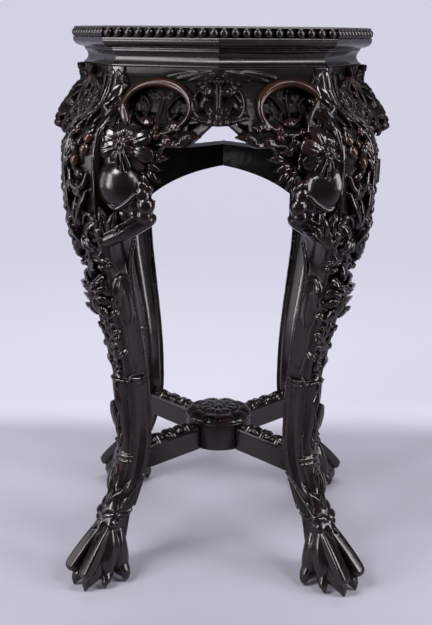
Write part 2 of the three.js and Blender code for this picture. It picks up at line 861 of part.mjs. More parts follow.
// A claw that narrows from its root to a small flat tip on the floor
function claw(back, tip, size) {
  const clawSides = 4;
  const ringAt = (centre, half) => {
    const points = [];
    for (let k = 0; k < clawSides; k += 1) {
      const angle = ((k + 0.5) / clawSides) * Math.PI * 2;
      const corner = new THREE.Vector3(half * Math.cos(angle), half * Math.sin(angle), 0);
      points.push(corner.add(centre));
    }
    return points;
  };
  const bulge = new THREE.Vector3(tip.x - back.x, tip.y - back.y, 0).multiplyScalar(0.12);
  const bend = back.clone().lerp(tip, 0.55).add(bulge);
  const rings = [ringAt(back, size / 2), ringAt(bend, size * 0.36), ringAt(tip, tipWidth / 2)];
  return toManifold(loft(rings, flatXY));
}

// Two toes with nails in front, and two claws on each side behind them
function foot() {
  const parts = [];
  for (const side of [-1, 1]) {
    const nailBack = new THREE.Vector3(side * (toeSpread - 3), toeReach - 26, nailLength);
    const nailTip = new THREE.Vector3(side * toeSpread, toeReach - 6, 0);
    parts.push(toe(side), claw(nailBack, nailTip, nailWidth));
    for (const place of [0, 1]) {
      const radius = clawRadius + clawPitch * place;
      const spread = clawSpread - 2 * place;
      const clawBack = new THREE.Vector3(side * (spread - 8), radius + 4, clawHeight);
      const clawTip = new THREE.Vector3(side * spread, radius - 4, 0);
      parts.push(claw(clawBack, clawTip, clawWidth));
    }
  }
  return wasm.Manifold.union(parts);
}

function armTenon(clearance) {
  const grow = 2 * clearance;
  const start = shankInnerRadius - root;
  const end = shankInnerRadius + armTenonLength + clearance;
  return box(armTenonWidth + grow, end - start, armTenonHeight + grow, 0, (start + end) / 2, armMiddle);
}

// The carved sprig on the front of the shin
function sprig() {
  return knob(sprigWidth, sprigReach, sprigHeight, 0, along(legOuter, sprigLevel), sprigLevel);
}

function leg() {
  let body = toManifold(loft(legLevels().map(legRing), flatXY));
  body = body.add(sprig()).add(foot()).add(legTenon(0));
  const turnToSide = 180 / SIDES;
  const mortise = boardTenon(fit);
  body = body.subtract(mortise.rotate([0, 0, -turnToSide]));
  body = body.subtract(mirrored(mortise).rotate([0, 0, turnToSide]));
  return body.subtract(armTenon(fit));
}

// Stretcher arm: flat sides and foot, a rounded crest, and a tenon at each end
function armSection() {
  const half = armWidth / 2;
  const top = stretcherBottom + armHeight;
  const crest = [[half, top], [half * 0.62, top + armCrest * 0.8], [0, top + armCrest]];
  const mirroredCrest = crest.slice(0, 2).reverse().map(([x, z]) => [-x, z]);
  const right = [[half, stretcherBottom], [half, armMiddle], ...crest];
  const left = [...mirroredCrest, [-half, armMiddle], [-half, stretcherBottom]];
  return [...right, ...left];
}

function stretcherArm() {
  const legFace = (z) => along(legInner, z) - fit - facetStep;
  const ring = (place) => armSection().map(([x, z]) => new THREE.Vector3(x, place(z), z));
  const crestStart = rosetteRadius * rosetteFlare + fit + 0.2;
  const hubFace = Math.max(crestStart, hubRadius + fit);
  const bar = toManifold(loft([ring(() => hubFace), ring(legFace)], flatXZ));
  const housed = root + hubHousing;
  const seat = hubRadius - hubHousing;
  return bar
    .add(box(armWidth, housed, armHeight, 0, seat + housed / 2, armMiddle))
    .add(hubTenon(0))
    .add(armTenon(0));
}

function hubTenon(clearance) {
  const grow = 2 * clearance;
  const start = hubRadius - hubHousing - hubTenonLength - clearance;
  const end = hubRadius - hubHousing + root / 2;
  return box(armTenonWidth + grow, end - start, armTenonHeight + grow, 0, (start + end) / 2, armMiddle);
}

function uprightCylinder(radius, bottom, top, segments) {
  const cylinder = new THREE.CylinderGeometry(radius, radius, top - bottom, segments);
  cylinder.rotateX(Math.PI / 2);
  cylinder.translate(0, 0, (top + bottom) / 2);
  return toManifold(cylinder);
}

// A drum with a housing and a mortise for each arm, and a hole for the rosette's peg
function hub() {
  const top = stretcherBottom + hubHeight;
  const housingTop = stretcherBottom + armHeight + fit;
  const housingBottom = stretcherBottom - root;
  const height = housingTop - housingBottom;
  const seat = hubRadius - hubHousing - fit;
  const housing = box(armWidth + 2 * fit, 2 * root, height, 0, seat + root, (housingTop + housingBottom) / 2);
  const socket = housing.add(hubTenon(fit));
  let body = uprightCylinder(hubRadius, stretcherBottom, top, 32);
  for (let k = 0; k < 4; k += 1) body = body.subtract(socket.rotate([0, 0, 45 + 90 * k]));
  return body.subtract(uprightCylinder(pegRadius + fit, top - pegLength - fit, top + 1, 12));
}

// Carved cap of the hub: a lobed rim, a low dome and a peg. Rows hold a share of the radius and a rise.
function rosette() {
  const seat = stretcherBottom + hubHeight + fit;
  const rows = [
    [1, 0], [rosetteFlare, rosetteRim * 0.5], [0.97, rosetteRim], [0.8, rosetteRim + rosetteDome * 0.55],
    [0.45, rosetteRim + rosetteDome * 0.95], [0.16, rosetteRim + rosetteDome],
  ];
  const points = 3 * rosetteLobes;
  const rings = rows.map(([share, rise]) => {
    const ring = [];
    for (let k = 0; k < points; k += 1) {
      const angle = (k / points) * Math.PI * 2;
      const scallop = share > 0.9 ? rosetteScallop : 0;
      const wave = 1 - scallop * (0.5 - 0.5 * Math.cos(angle * rosetteLobes));
      const radius = rosetteRadius * share * wave;
      ring.push(new THREE.Vector3(radius * Math.cos(angle), radius * Math.sin(angle), seat + rise));
    }
    return ring;
  });
  const peg = uprightCylinder(pegRadius, seat - fit - pegLength, seat + rosetteRim / 2, 12);
  return toManifold(loft(rings, flatXY)).add(peg);
}

// Floating panel: a raised octagonal field with a tongue all round
function octagonSlab(radius, bottom, top) {
  const corners = [];
  for (let k = 0; k < SIDES; k += 1) {
    const angle = (k * Math.PI * 2) / SIDES;
    corners.push(new THREE.Vector2(radius * Math.cos(angle), radius * Math.sin(angle)));
  }
  const slab = new THREE.ExtrudeGeometry(new THREE.Shape(corners), { depth: top - bottom, bevelEnabled: false });
  slab.translate(0, 0, bottom);
  return toManifold(slab);
}

function topPanel() {
  const tongueRadius = frameInnerRadius + (panelTongue - fit) / COS;
  const field = octagonSlab(frameInnerRadius - fit / COS, panelBottom, panelTop);
  return field.add(octagonSlab(tongueRadius, panelBottom, panelShoulder));
}

function batten() {
  const reach = frameInnerRadius * COS - fit;
  const z = panelBottom - fit - battenHeight / 2;
  const bar = box(battenWidth, 2 * reach, battenHeight, 0, 0, z);
  const tenon = battenTenon(0);
  return bar.add(tenon).add(tenon.rotate([0, 0, 180]));
}

// Assembly

const quarter = Math.PI / 2;
const sideTurn = (azimuth) => THREE.MathUtils.degToRad(azimuth - 90);

const handedSides = [
  { name: 'front_right', azimuth: -67.5, hand: 1 },
  { name: 'right_front', azimuth: -22.5, hand: -1 },
  { name: 'right_back', azimuth: 22.5, hand: 1 },
  { name: 'back_right', azimuth: 67.5, hand: -1 },
  { name: 'back_left', azimuth: 112.5, hand: 1 },
  { name: 'left_back', azimuth: 157.5, hand: -1 },
  { name: 'left_front', azimuth: 202.5, hand: 1 },
  { name: 'front_left', azimuth: 247.5, hand: -1 },
];

addPiece('top_panel', toGeometry(topPanel()), darkWood);
addPiece('panel_batten', toGeometry(batten()), innerWood, sideTurn(22.5));

for (const { name, azimuth, hand } of handedSides) {
  const turn = sideTurn(azimuth);
  const tongues = hand === 1;
  const meetsBatten = name === 'right_back' || name === 'left_front';
  const arched = !name.startsWith('front');
  const handed = (solid) => toGeometry(hand === 1 ? solid : mirrored(solid));
  addPiece(`top_rail_${name}`, handed(topRail(tongues, meetsBatten)), darkWood, turn);
  addPiece(`waist_${name}`, handed(waistPiece()), darkWood, turn);
  addPiece(`apron_${name}`, handed(apronBoard(arched, tongues)), redWood, turn);
}

const corners = ['front_right', 'back_right', 'back_left', 'front_left'];
corners.forEach((name, k) => {
  const turn = -quarter / 2 + quarter * k - quarter;
  addPiece(`leg_${name}`, toGeometry(leg()), darkWood, turn);
  addPiece(`stretcher_arm_${name}`, toGeometry(stretcherArm()), darkWood, turn);
});

addPiece('stretcher_hub', toGeometry(hub()), darkWood);
addPiece('hub_rosette', toGeometry(rosette()), redWood);

export default stand;
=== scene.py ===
"""Looks of a carved octagonal hardwood stand: carved aprons and legs, moulded top, stretcher and studio.

Lengths in the modelling code are millimetres; a mesh is turned into metres when its object is made.
"""

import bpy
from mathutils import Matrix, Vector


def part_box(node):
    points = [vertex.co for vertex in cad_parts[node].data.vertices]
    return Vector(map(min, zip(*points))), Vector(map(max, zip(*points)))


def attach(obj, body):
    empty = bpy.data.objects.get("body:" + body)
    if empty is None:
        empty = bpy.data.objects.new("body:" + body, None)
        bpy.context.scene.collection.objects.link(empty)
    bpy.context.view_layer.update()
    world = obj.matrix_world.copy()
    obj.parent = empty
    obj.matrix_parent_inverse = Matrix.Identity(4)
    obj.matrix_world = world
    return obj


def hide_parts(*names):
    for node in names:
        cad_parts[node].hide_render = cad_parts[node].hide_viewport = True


bl_info = {
    "name": "Carved Display Stand",
    "version": (1, 0, 0),
    "blender": (4, 5, 0),
    "location": "View3D > Sidebar > Stand",
    "description": "Builds the carved surfaces, finishes and studio of an octagonal hardwood stand",
    "category": "Object",
}

import math

import bmesh
import bpy
import numpy as np
from mathutils import Matrix, Vector
from mathutils.geometry import tessellate_polygon

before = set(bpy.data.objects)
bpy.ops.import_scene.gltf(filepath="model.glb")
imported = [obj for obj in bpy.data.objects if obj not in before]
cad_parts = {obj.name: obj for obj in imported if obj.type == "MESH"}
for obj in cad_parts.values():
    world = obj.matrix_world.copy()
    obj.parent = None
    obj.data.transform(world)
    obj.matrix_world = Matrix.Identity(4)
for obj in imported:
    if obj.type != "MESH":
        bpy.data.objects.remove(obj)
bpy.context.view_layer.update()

MM = 0.001
SIDES = 8
HALF_TURN = math.pi / SIDES
COS, SIN, TAN = math.cos(HALF_TURN), math.sin(HALF_TURN), math.tan(HALF_TURN)

# The eight spans of the octagon: azimuth of each side, and the hand of its pieces
SIDE_PLACES = {
    "front_right": (-67.5, 1),
    "right_front": (-22.5, -1),
    "right_back": (22.5, 1),
    "back_right": (67.5, -1),
    "back_left": (112.5, 1),
    "left_back": (157.5, -1),
    "left_front": (202.5, 1),
    "front_left": (247.5, -1),
}
CORNERS = {"front_right": (-45, -1), "back_right": (45, 1), "back_left": (135, -1), "front_left": (225, 1)}


def low_mm(node, axis):
    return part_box(node)[0][axis] / MM


def high_mm(node, axis):
    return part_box(node)[1][axis] / MM


# Levels taken from the frame
TOP = high_mm("top_rail_front_left", 2)
RAIL_FOOT = low_mm("top_rail_front_left", 2)
WAIST_FOOT = low_mm("waist_front_left", 2)
LEG_TOP = high_mm("apron_front_left", 2)
ARM_FOOT = low_mm("stretcher_hub", 2)
DRUM_TOP = high_mm("stretcher_hub", 2)
ROSETTE_TOP = high_mm("hub_rosette", 2)

# Radii of the stand at the octagon's corners
RIM = 223.3
FRAME_INNER = 168.0
BEAD_DROP = 2.8
BEAD_SEAT = 6.0
WAIST = 205.0
WAIST_LIP = 206.8
FASCIA = 208.0
KNEE = 243.5
BOARD_INNER = 190.0
RIM_ROUNDING = 1.9
GAP = 0.3

# Saw planes, each a point in mm and a normal away from the piece: the mitres of the side facing +Y, top and floor
MITRES = [((sign * -GAP / (2 * COS), 0, 0), (sign, -TAN, 0)) for sign in (1, -1)]
TOP_CUT = ((0, 0, LEG_TOP), (0, 0, 1))
FLOOR_CUT = ((0, 0, 0), (0, 0, -1))

# Levels of the apron and knee
FASCIA_FOOT = LEG_TOP - 25
SWELL_FOOT = FASCIA_FOOT - 100
SPANDREL_FOOT = LEG_TOP - 222.7
CUSP = LEG_TOP - 100.7
PEAK = LEG_TOP - 72.7
RING_LEVEL = LEG_TOP - 52.7
LOBE_LEVEL = LEG_TOP - 42.7
KNOB_LEVEL = SPANDREL_FOOT + 38
BAND_TOP = KNOB_LEVEL + 46

# Plan of one board, lengths along its side from the side's middle
JOINT = -57.0
RING_HALF = (50.0, 33.0)
LOBE_AT = 64.0
LOBE_HALF = (16.0, 19.0)
PLATE = 20.0

# How many times a surface is smoothed to tell its ridges from its hollows
RIDGE_REACH = 14

# How many loose leaves are strewn over a side or back board, a knee and a shin
DENSE_LEAVES = 50
KNEE_LEAVES = 44
SHIN_LEAVES = 22

# Leg below the knee
SHANK_INNER = 158.0
SHANK_HALF = 17.5
STEM_TOP = 482.0

# Stretcher
ARM_HEIGHT = 38
ARM_TOP = ARM_FOOT + ARM_HEIGHT
ARM_START = 54.0
ARM_END = 164.0
ROSETTE_RADIUS = 54.0


# Sizes and colours a user would change


def length(name, description, default):
    return bpy.props.FloatProperty(name=name, description=description, default=default, unit="LENGTH")


def whole(name, description, default, low, high):
    return bpy.props.IntProperty(name=name, description=description, default=default, min=low, max=high)


def colour(name, description, default):
    return bpy.props.FloatVectorProperty(
        name=name, description=description, default=default, subtype="COLOR", size=3, min=0, max=1
    )


class StandSizes(bpy.types.PropertyGroup):
    beads: whole("Beads", "Beads on each side of the rim", 11, 3, 30)
    bead_height: length("Bead height", "Height of a bead", 0.0124)
    bead_proud: length("Bead reach", "How far a bead stands out of the rim", 0.0016)
    ring_bar: length("Ring bar", "Radius of the big ring's bar", 0.0052)
    flower_reach: length("Flower", "Length of the outer petals", 0.036)
    carving_grain: length("Carving fineness", "Size of the smallest carved form", 0.00115)
    leg_grain: length("Leg fineness", "Smallest form carved on a leg", 0.0013)
    arm_grain: length("Arm fineness", "Smallest form carved on a stretcher arm", 0.0011)
    apron_triangles: whole("Apron triangles", "Triangles of one apron board", 125000, 20000, 190000)
    leg_triangles: whole("Leg triangles", "Triangles of one leg", 180000, 20000, 190000)
    scatter_seed: whole("Foliage", "Which arrangement the small leaves take", 7, 0, 1000)


class FinishColours(bpy.types.PropertyGroup):
    wood: colour("Dark wood", "Main colour of the hardwood", (0.0042, 0.0028, 0.0032))
    # Red wood also colours the berries and the ring bar, redder on the ring's top as a painted highlight.
    wood_red: colour("Red wood", "Colour of worn ridges and reddish figure", (0.060, 0.019, 0.009))
    wood_plain: colour("Inner wood", "Colour of the unpolished inside", (0.045, 0.026, 0.017))
    gloss: bpy.props.FloatProperty(
        name="Roughness", description="Roughness of the waxed surface", default=0.19, min=0, max=1
    )


class StudioSettings(bpy.types.PropertyGroup):
    floor: colour("Floor", "Colour of the floor", (0.30, 0.29, 0.345))
    backdrop: colour("Backdrop", "Colour of the backdrop", (0.74, 0.72, 0.84))
    haze: colour("Haze", "Paleness of the backdrop in the camera's view", (0.67, 0.67, 0.79))
    lens: bpy.props.FloatProperty(name="Lens", description="Focal length in millimetres", default=56.38)
    camera_place: bpy.props.FloatVectorProperty(
        name="Camera", description="Where the camera stands", subtype="XYZ", unit="LENGTH",
        size=3, default=(0.0289, -1.5097, 0.813),
    )
    lamp_power: bpy.props.FloatProperty(name="Lamps", description="Power of the soft lamps in watts", default=30.0)


def sizes():
    """The stand's sizes, as the user sets them."""
    return bpy.context.scene.stand_sizes


# Curves


def along(stations, level):
    """Smooth curve through rows of (level, value), listed from the top down."""
    rows = np.array(sorted(stations), float)
    x, y = rows[:, 0], rows[:, 1]
    slope = np.gradient(y, x)
    level = np.clip(np.asarray(level, float), x[0], x[-1])
    i = np.clip(np.searchsorted(x, level) - 1, 0, len(x) - 2)
    span = x[i + 1] - x[i]
    u = (level - x[i]) / span
    h1, h3 = (1 + 2 * u) * (1 - u) ** 2, u * u * (3 - 2 * u)
    h2, h4 = u * (1 - u) ** 2 * span, u * u * (u - 1) * span
    return h1 * y[i] + h2 * slope[i] + h3 * y[i + 1] + h4 * slope[i + 1]


SWELL_DROP = FASCIA_FOOT - SWELL_FOOT
KNEE_LINE = [
    (LEG_TOP, FASCIA),
    (FASCIA_FOOT, FASCIA + 1),
    (FASCIA_FOOT - 0.33 * SWELL_DROP, FASCIA + 0.45 * (KNEE - FASCIA)),
    (FASCIA_FOOT - 0.6 * SWELL_DROP, FASCIA + 0.86 * (KNEE - FASCIA)),
    (SWELL_FOOT, KNEE),
    (SPANDREL_FOOT, KNEE - 2),
]


def knee_radius(level):
    """Corner radius of the apron and knee at a level."""
    return along(KNEE_LINE, level)


def smooth_path(points, pieces=6):
    """More points on a soft curve through the given ones."""
    p = np.array(points, float)
    before, after = 2 * p[0] - p[1], 2 * p[-1] - p[-2]
    p = np.vstack([before, p, after])
    out = []
    for i in range(1, len(p) - 2):
        for k in range(pieces):
            t = k / pieces
            out.append(
                0.5 * (2 * p[i] + (p[i + 1] - p[i - 1]) * t
                       + (2 * p[i - 1] - 5 * p[i] + 4 * p[i + 1] - p[i + 2]) * t * t
                       + (3 * p[i] - p[i - 1] - 3 * p[i + 1] + p[i + 2]) * t ** 3)
            )
    out.append(p[-2])
    return np.array(out)


# Closed forms in the flat working space of a carving: x along the side, y out of the surface, z up


def grid_faces(rows, columns, closed=False):
    """Faces of a grid of points. In a closed one the last column is joined to the first."""
    faces = []
    for i in range(rows - 1):
        for k in range(columns if closed else columns - 1):
            j, m = i + 1, (k + 1) % columns
            faces.append((i * columns + k, i * columns + m, j * columns + m, j * columns + k))
    return faces


def tube_faces(rows, around):
    """Faces of a tube of rings, with a cap on both ends."""
    caps = [tuple(reversed(range(around))), tuple(range((rows - 1) * around, rows * around))]
    return grid_faces(rows, around, True) + caps


def stem(path, radius, around=9, pieces=6, flat=1.0, square=1.0):
    """A stem along a path of (x, out, z), with one radius or one for each point. A square below 1 makes it boxy."""
    path = np.array(path, float)
    radii = np.broadcast_to(np.array(radius, float), (len(path),))
    line = smooth_path(np.column_stack([path, radii]), pieces)
    centres, r = line[:, :3], np.maximum(line[:, 3], 0.3)
    heading = np.gradient(centres, axis=0)
    heading /= np.linalg.norm(heading, axis=1)[:, None] + 1e-9
    out = np.tile([0.0, 1.0, 0.0], (len(centres), 1))
    out -= heading * np.sum(out * heading, axis=1)[:, None]
    out /= np.linalg.norm(out, axis=1)[:, None] + 1e-9
    across = np.cross(heading, out)
    ends = []
    for end, sign in ((0, -1), (-1, 1)):
        ends.append([(centres[end] + sign * heading[end] * r[end] * s, r[end] * c)
                     for s, c in ((0.5, 0.87), (0.87, 0.5), (1.0, 0.06))])
    rows = [(c, k, 0) for c, k in reversed(ends[0])]
    rows += [(centres[i], r[i], i) for i in range(len(centres))]
    rows += [(c, k, len(centres) - 1) for c, k in ends[1]]
    turn = np.linspace(0, 2 * math.pi, around, endpoint=False)
    up = flat * np.sign(np.cos(turn)) * np.abs(np.cos(turn)) ** square
    wide = np.sign(np.sin(turn)) * np.abs(np.sin(turn)) ** square
    points = [c + k * (up[:, None] * out[i] + wide[:, None] * across[i]) for c, k, i in rows]
    return np.vstack(points), tube_faces(len(rows), around)


def ball(x, z, radii, out=0.0, turn=0.0, segments=12, rings=8):
    """A berry or knob. Radii run along x, outwards and up before it is turned in the plane of the surface."""
    if np.isscalar(radii):
        radii = (radii,) * 3
    tilt = np.linspace(0.03, math.pi - 0.03, rings)
    around = np.linspace(0, 2 * math.pi, segments, endpoint=False)
    points = np.array([
        (radii[0] * math.sin(a) * math.cos(b), radii[1] * math.sin(a) * math.sin(b), radii[2] * math.cos(a))
        for a in tilt for b in around
    ])
    c, s = math.cos(turn), math.sin(turn)
    spun = np.column_stack([
        points[:, 0] * c - points[:, 2] * s + x,
        points[:, 1] + out,
        points[:, 0] * s + points[:, 2] * c + z,
    ])
    faces = grid_faces(rings, segments, closed=True)
    faces.append(tuple(range(segments)))
    faces.append(tuple(reversed(range((rings - 1) * segments, rings * segments))))
    return spun, faces


def leaf(x, z, angle, length, width, lift=3.0, root=0.0, tip=0.0, arch=2.0, curl=0.0,
         teeth=0, shape=(0.6, 0.9), thick=5.0, groove=0.35, veins=4, cup=0.0, twist=0.0, steps=18, across=10):
    """A carved leaf or petal. The angle is its heading in degrees from the x axis, curl bends it in the plane,
    cup lifts both edges, and twist lifts one edge over the next leaf."""
    u = np.linspace(0, 1, steps)
    v = np.linspace(-1, 1, across + 1)
    heading = np.radians(angle + curl * (u - 0.15))
    step = length / (steps - 1)
    cx = x + np.concatenate([[0], np.cumsum(np.cos(heading[:-1]) * step)])
    cz = z + np.concatenate([[0], np.cumsum(np.sin(heading[:-1]) * step)])
    a, b = shape
    half = (u ** a) * ((1 - u) ** b)
    half = width / 2 * half / half.max()
    if teeth:
        half = half * (0.86 + 0.2 * np.abs(np.sin(math.pi * u * teeth)))
    half = np.maximum(half, 0.35)
    across_x, across_z = -np.sin(heading), np.cos(heading)
    base = root + (tip - root) * u + arch * np.sin(math.pi * np.clip(u, 0, 1) ** 0.9)
    rib = np.exp(-((v / 0.16) ** 2))
    crown = (1 - np.abs(v) ** 2.4)
    body = np.sqrt(np.clip(np.sin(math.pi * u ** 0.8), 0, 1))
    vein = 0.16 * np.cos(2 * math.pi * (veins * u[:, None] + 0.9 * np.abs(v)[None, :]))
    relief = crown[None, :] * (1 + vein) - groove * rib[None, :] + cup * np.abs(v)[None, :] ** 2
    profile = lift * body[:, None] * relief
    top_y = base[:, None] + profile + twist * body[:, None] * v[None, :]
    px = cx[:, None] + across_x[:, None] * half[:, None] * v[None, :]
    pz = cz[:, None] + across_z[:, None] * half[:, None] * v[None, :]
    top = np.stack([px, top_y, pz], axis=-1).reshape(-1, 3)
    low = np.stack([px, np.broadcast_to((base - thick)[:, None], px.shape), pz], axis=-1).reshape(-1, 3)
    count = across + 1
    faces = grid_faces(steps, count)
    shift = steps * count
    faces += [tuple(i + shift for i in reversed(f)) for f in faces]
    rim = list(range(count)) + [i * count + count - 1 for i in range(1, steps)]
    rim += [(steps - 1) * count + k for k in range(count - 2, -1, -1)] + [i * count for i in range(steps - 2, 0, -1)]
    for i, k in zip(rim, rim[1:] + rim[:1]):
        faces.append((k, i, i + shift, k + shift))
    return np.vstack([top, low]), faces


def crisp_leaf(x, z, angle, length, width, root, tip, arch=4.0, curl=0.0, twist=2.0, teeth=0, shape=(0.7, 0.7)):
    """A thin leaf with sharp edges and a deep middle groove, for laying over the fused carving."""
    return leaf(x, z, angle, length, width, lift=3.0, root=root, tip=tip, arch=arch, curl=curl, teeth=teeth,
                shape=shape, thick=4.5, groove=0.9, veins=0, cup=0.4, twist=twist, steps=22, across=12)


def stems(*rows):
    """Several stems, each written as (path, radius) and, if need be, the points round it and pieces along it."""
    return [stem(*row) for row in rows]


def leaves(rows, **cut):
    """Leaves written as (x, z, angle, length, width, curl), all cut alike."""
    return [leaf(*row[:5], curl=row[5], **cut) for row in rows]


def crisp_leaves(rows, root, tip, **cut):
    """Crisp leaves written as (x, z, angle, length, width, curl), all cut alike."""
    return [crisp_leaf(*row[:5], root, tip, curl=row[5], **cut) for row in rows]


def berries(rows, out=0.0, tall=1.0, detail=(12, 8)):
    """Berries written as (x, z, radius), or with their own place out of the surface as a fourth number."""
    return [ball(x, z, (r, r, r * tall), *(own or (out,)), 0.0, *detail) for x, z, r, *own in rows]


def hoop(x, z, halves, out, rise, points):
    """Middle line of a closed oval bar, which rises from its foot to its top."""
    turn = np.linspace(0, 2 * math.pi, points)
    return [(x + halves[0] * math.cos(a), out + rise * math.sin(a), z + halves[1] * math.sin(a)) for a in turn]


def plate(outline, holes, back, front):
    """A flat board of the given outline with its holes, from back to front."""
    loops = [outline] + holes
    corners = [(x, z) for loop in loops for x, z in loop]
    count = len(corners)
    triangles = tessellate_polygon([[Vector((x, z, 0)) for x, z in loop] for loop in loops])
    points = [(x, front, z) for x, z in corners] + [(x, back, z) for x, z in corners]
    faces = [tuple(t) for t in triangles] + [tuple(i + count for i in reversed(t)) for t in triangles]
    start = 0
    for loop in loops:
        n = len(loop)
        for i in range(n):
            k = (i + 1) % n
            faces.append((start + i, start + k, start + k + count, start + i + count))
        start += n
    return np.array(points, float), faces


class Blank:
    """Closed forms that become one mesh."""

    def __init__(self):
        self.points = []
        self.faces = []
        self.count = 0

    def add(self, forms, surface=None):
        """Adds forms, mapped from their flat working space on to a surface if one is given."""
        for points, faces in forms:
            self.points.append(surface(points) if surface else points)
            self.faces.extend(tuple(i + self.count for i in f) for f in faces)
            self.count += len(points)

    def build(self, name):
        return new_piece(name, np.vstack(self.points), self.faces)


# Meshes and objects


def new_piece(name, points_mm, faces):
    mesh = bpy.data.meshes.new(name)
    mesh.from_pydata((np.asarray(points_mm) * MM).tolist(), [], faces)
    mesh.update()
    piece = bpy.data.objects.new(name, mesh)
    bpy.context.scene.collection.objects.link(piece)
    return piece


def select_only(piece):
    if bpy.context.object and bpy.context.object.mode != "OBJECT":
        bpy.ops.object.mode_set(mode="OBJECT")
    bpy.ops.object.select_all(action="DESELECT")
    piece.select_set(True)
    bpy.context.view_layer.objects.active = piece


def apply_modifiers(piece):
    select_only(piece)
    for modifier in list(piece.modifiers):
        bpy.ops.object.modifier_apply(modifier=modifier.name)


def outward(piece, merge=0.00001):
    """Merges corners that coincide and turns every face outwards."""
    select_only(piece)
    bpy.ops.object.mode_set(mode="EDIT")
    bpy.ops.mesh.select_all(action="SELECT")
    bpy.ops.mesh.remove_doubles(threshold=merge)
    bpy.ops.mesh.normals_make_consistent(inside=False)
    bpy.ops.object.mode_set(mode="OBJECT")


def corner_to_x(piece):
    """Turns a drawn octagon so that its first corner lies on the X axis."""
    corner = piece.data.vertices[0].co
    piece.data.transform(Matrix.Rotation(-math.atan2(corner.y, corner.x), 4, "Z"))


def joined(first, blank):
    """Lays the loose forms of a blank over a piece, as part of its mesh."""
    select_only(blank.build("loose_forms"))
    first.select_set(True)
    bpy.context.view_layer.objects.active = first
    bpy.ops.object.join()
    return first


def fuse(piece, grain):
    """Joins the overlapping forms of a blank into one skin, then takes the tool marks off it."""
    remesh = piece.modifiers.new("Fuse", "REMESH")
    remesh.mode = "VOXEL"
    remesh.voxel_size = grain
    remesh.adaptivity = 0.0
    smooth = piece.modifiers.new("Polish", "SMOOTH")
    smooth.factor = 0.5
    smooth.iterations = 2
    apply_modifiers(piece)
    return piece


def lighten(piece, budget):
    """Thins the mesh where it is flat, down to a number of triangles."""
    count = sum(len(f.vertices) - 2 for f in piece.data.polygons)
    if count > budget:
        thin = piece.modifiers.new("Lighten", "DECIMATE")
        thin.ratio = budget / count
        apply_modifiers(piece)


def vertices_mm(piece):
    co = np.empty(len(piece.data.vertices) * 3, np.float32)
    piece.data.vertices.foreach_get("co", co)
    return co.reshape(-1, 3).astype(float) / MM


def set_vertices_mm(piece, points):
    piece.data.vertices.foreach_set("co", (points * MM).astype(np.float32).ravel())
    piece.data.update()


def cut_with_planes(piece, planes):
    """Saws the piece along planes given as (point in mm, normal away from the piece), and closes the cuts."""
    bm = bmesh.new()
    bm.from_mesh(piece.data)
    for point, normal in planes:
        geom = bm.verts[:] + bm.edges[:] + bm.faces[:]
        done = bmesh.ops.bisect_plane(
            bm, geom=geom, dist=1e-7, plane_co=Vector(point) * MM, plane_no=Vector(normal), clear_outer=True
        )
        edges = [e for e in done["geom_cut"] if isinstance(e, bmesh.types.BMEdge)]
        bmesh.ops.holes_fill(bm, edges=edges, sides=0)
    bmesh.ops.triangulate(bm, faces=[f for f in bm.faces if len(f.verts) > 4])
    bm.to_mesh(piece.data)
    bm.free()
    piece.data.update()


def neighbour_mean(values, pairs, count):
    """For each point the mean of the points that share an edge with it."""
    total = np.zeros_like(values)
    share = np.bincount(pairs.ravel(), minlength=count).astype(float)
    for axis in range(values.shape[1]):
        total[:, axis] = (np.bincount(pairs[:, 0], values[pairs[:, 1], axis], count)
                          + np.bincount(pairs[:, 1], values[pairs[:, 0], axis], count))
    return total / np.maximum(share, 1)[:, None]


def mark_ridges(piece, depth):
    """Stores how far each point stands proud of (1) or sinks below (0) the smoothed surface round it."""
    points = vertices_mm(piece)
    pairs = np.empty(len(piece.data.edges) * 2, np.int32)
    piece.data.edges.foreach_get("vertices", pairs)
    pairs = pairs.reshape(-1, 2)
    soft = points.copy()
    for _ in range(RIDGE_REACH):
        soft = neighbour_mean(soft, pairs, len(points))
    normals = np.empty(len(points) * 3, np.float32)
    piece.data.vertex_normals.foreach_get("vector", normals)
    proud = np.sum((points - soft) * normals.reshape(-1, 3), axis=1)
    store(piece, "ridge", "FLOAT", np.clip(0.5 + 0.5 * proud / depth, 0, 1))


def store(piece, name, kind, values):
    """Writes one value or vector for each point of the mesh, under a name."""
    attribute = piece.data.attributes.get(name) or piece.data.attributes.new(name, kind, "POINT")
    key = "vector" if kind == "FLOAT_VECTOR" else "value"
    attribute.data.foreach_set(key, np.asarray(values, np.float32).ravel())


def mark_warm(piece, points, spots, ring=None):
    """Stores where the wood is redder: round berries (x, z, radius), and along an oval ring, redder towards the ring's
    top as a painted highlight.
    """
    x, out, z = points.T
    warm = np.zeros(len(points))
    for spot_x, spot_z, radius in spots:
        warm = np.maximum(warm, np.clip((radius + 1.5 - np.hypot(x - spot_x, z - spot_z)) / 1.5, 0, 1))
    if ring:
        away = np.abs(np.hypot((x - ring[0]) / (ring[1] * RING_HALF[0]), (z - RING_LEVEL) / RING_HALF[1]) - 1) * 40
        # The ring grows redder towards its top, a painted highlight where the light falls on the bar.
        warm = np.maximum(warm, np.clip((8 - away) / 2, 0, 1) * np.clip(0.65 + (z - RING_LEVEL) / 60, 0.3, 1))
    store(piece, "warm", "FLOAT", warm * np.clip((out + 2) / 3, 0, 1))


def mark_dull_and_painted_shade(piece, share):
    """Stores how dull the wood was left and how far its colour is darkened as painted shade, as a share worked out
    from the points in mm.
    """
    store(piece, "deep", "FLOAT", np.clip(share(*vertices_mm(piece).T), 0, 1))


def mark_grain(piece, axis):
    """Keeps the piece's own coordinates for its grain, with the length of the wood along z."""
    points = vertices_mm(piece) * MM
    order = {"x": [1, 2, 0], "y": [0, 2, 1], "z": [0, 1, 2]}[axis]
    store(piece, "grain", "FLOAT_VECTOR", points[:, order])


def smooth_shade(piece, angle):
    select_only(piece)
    bpy.ops.object.shade_smooth_by_angle(angle=math.radians(angle))


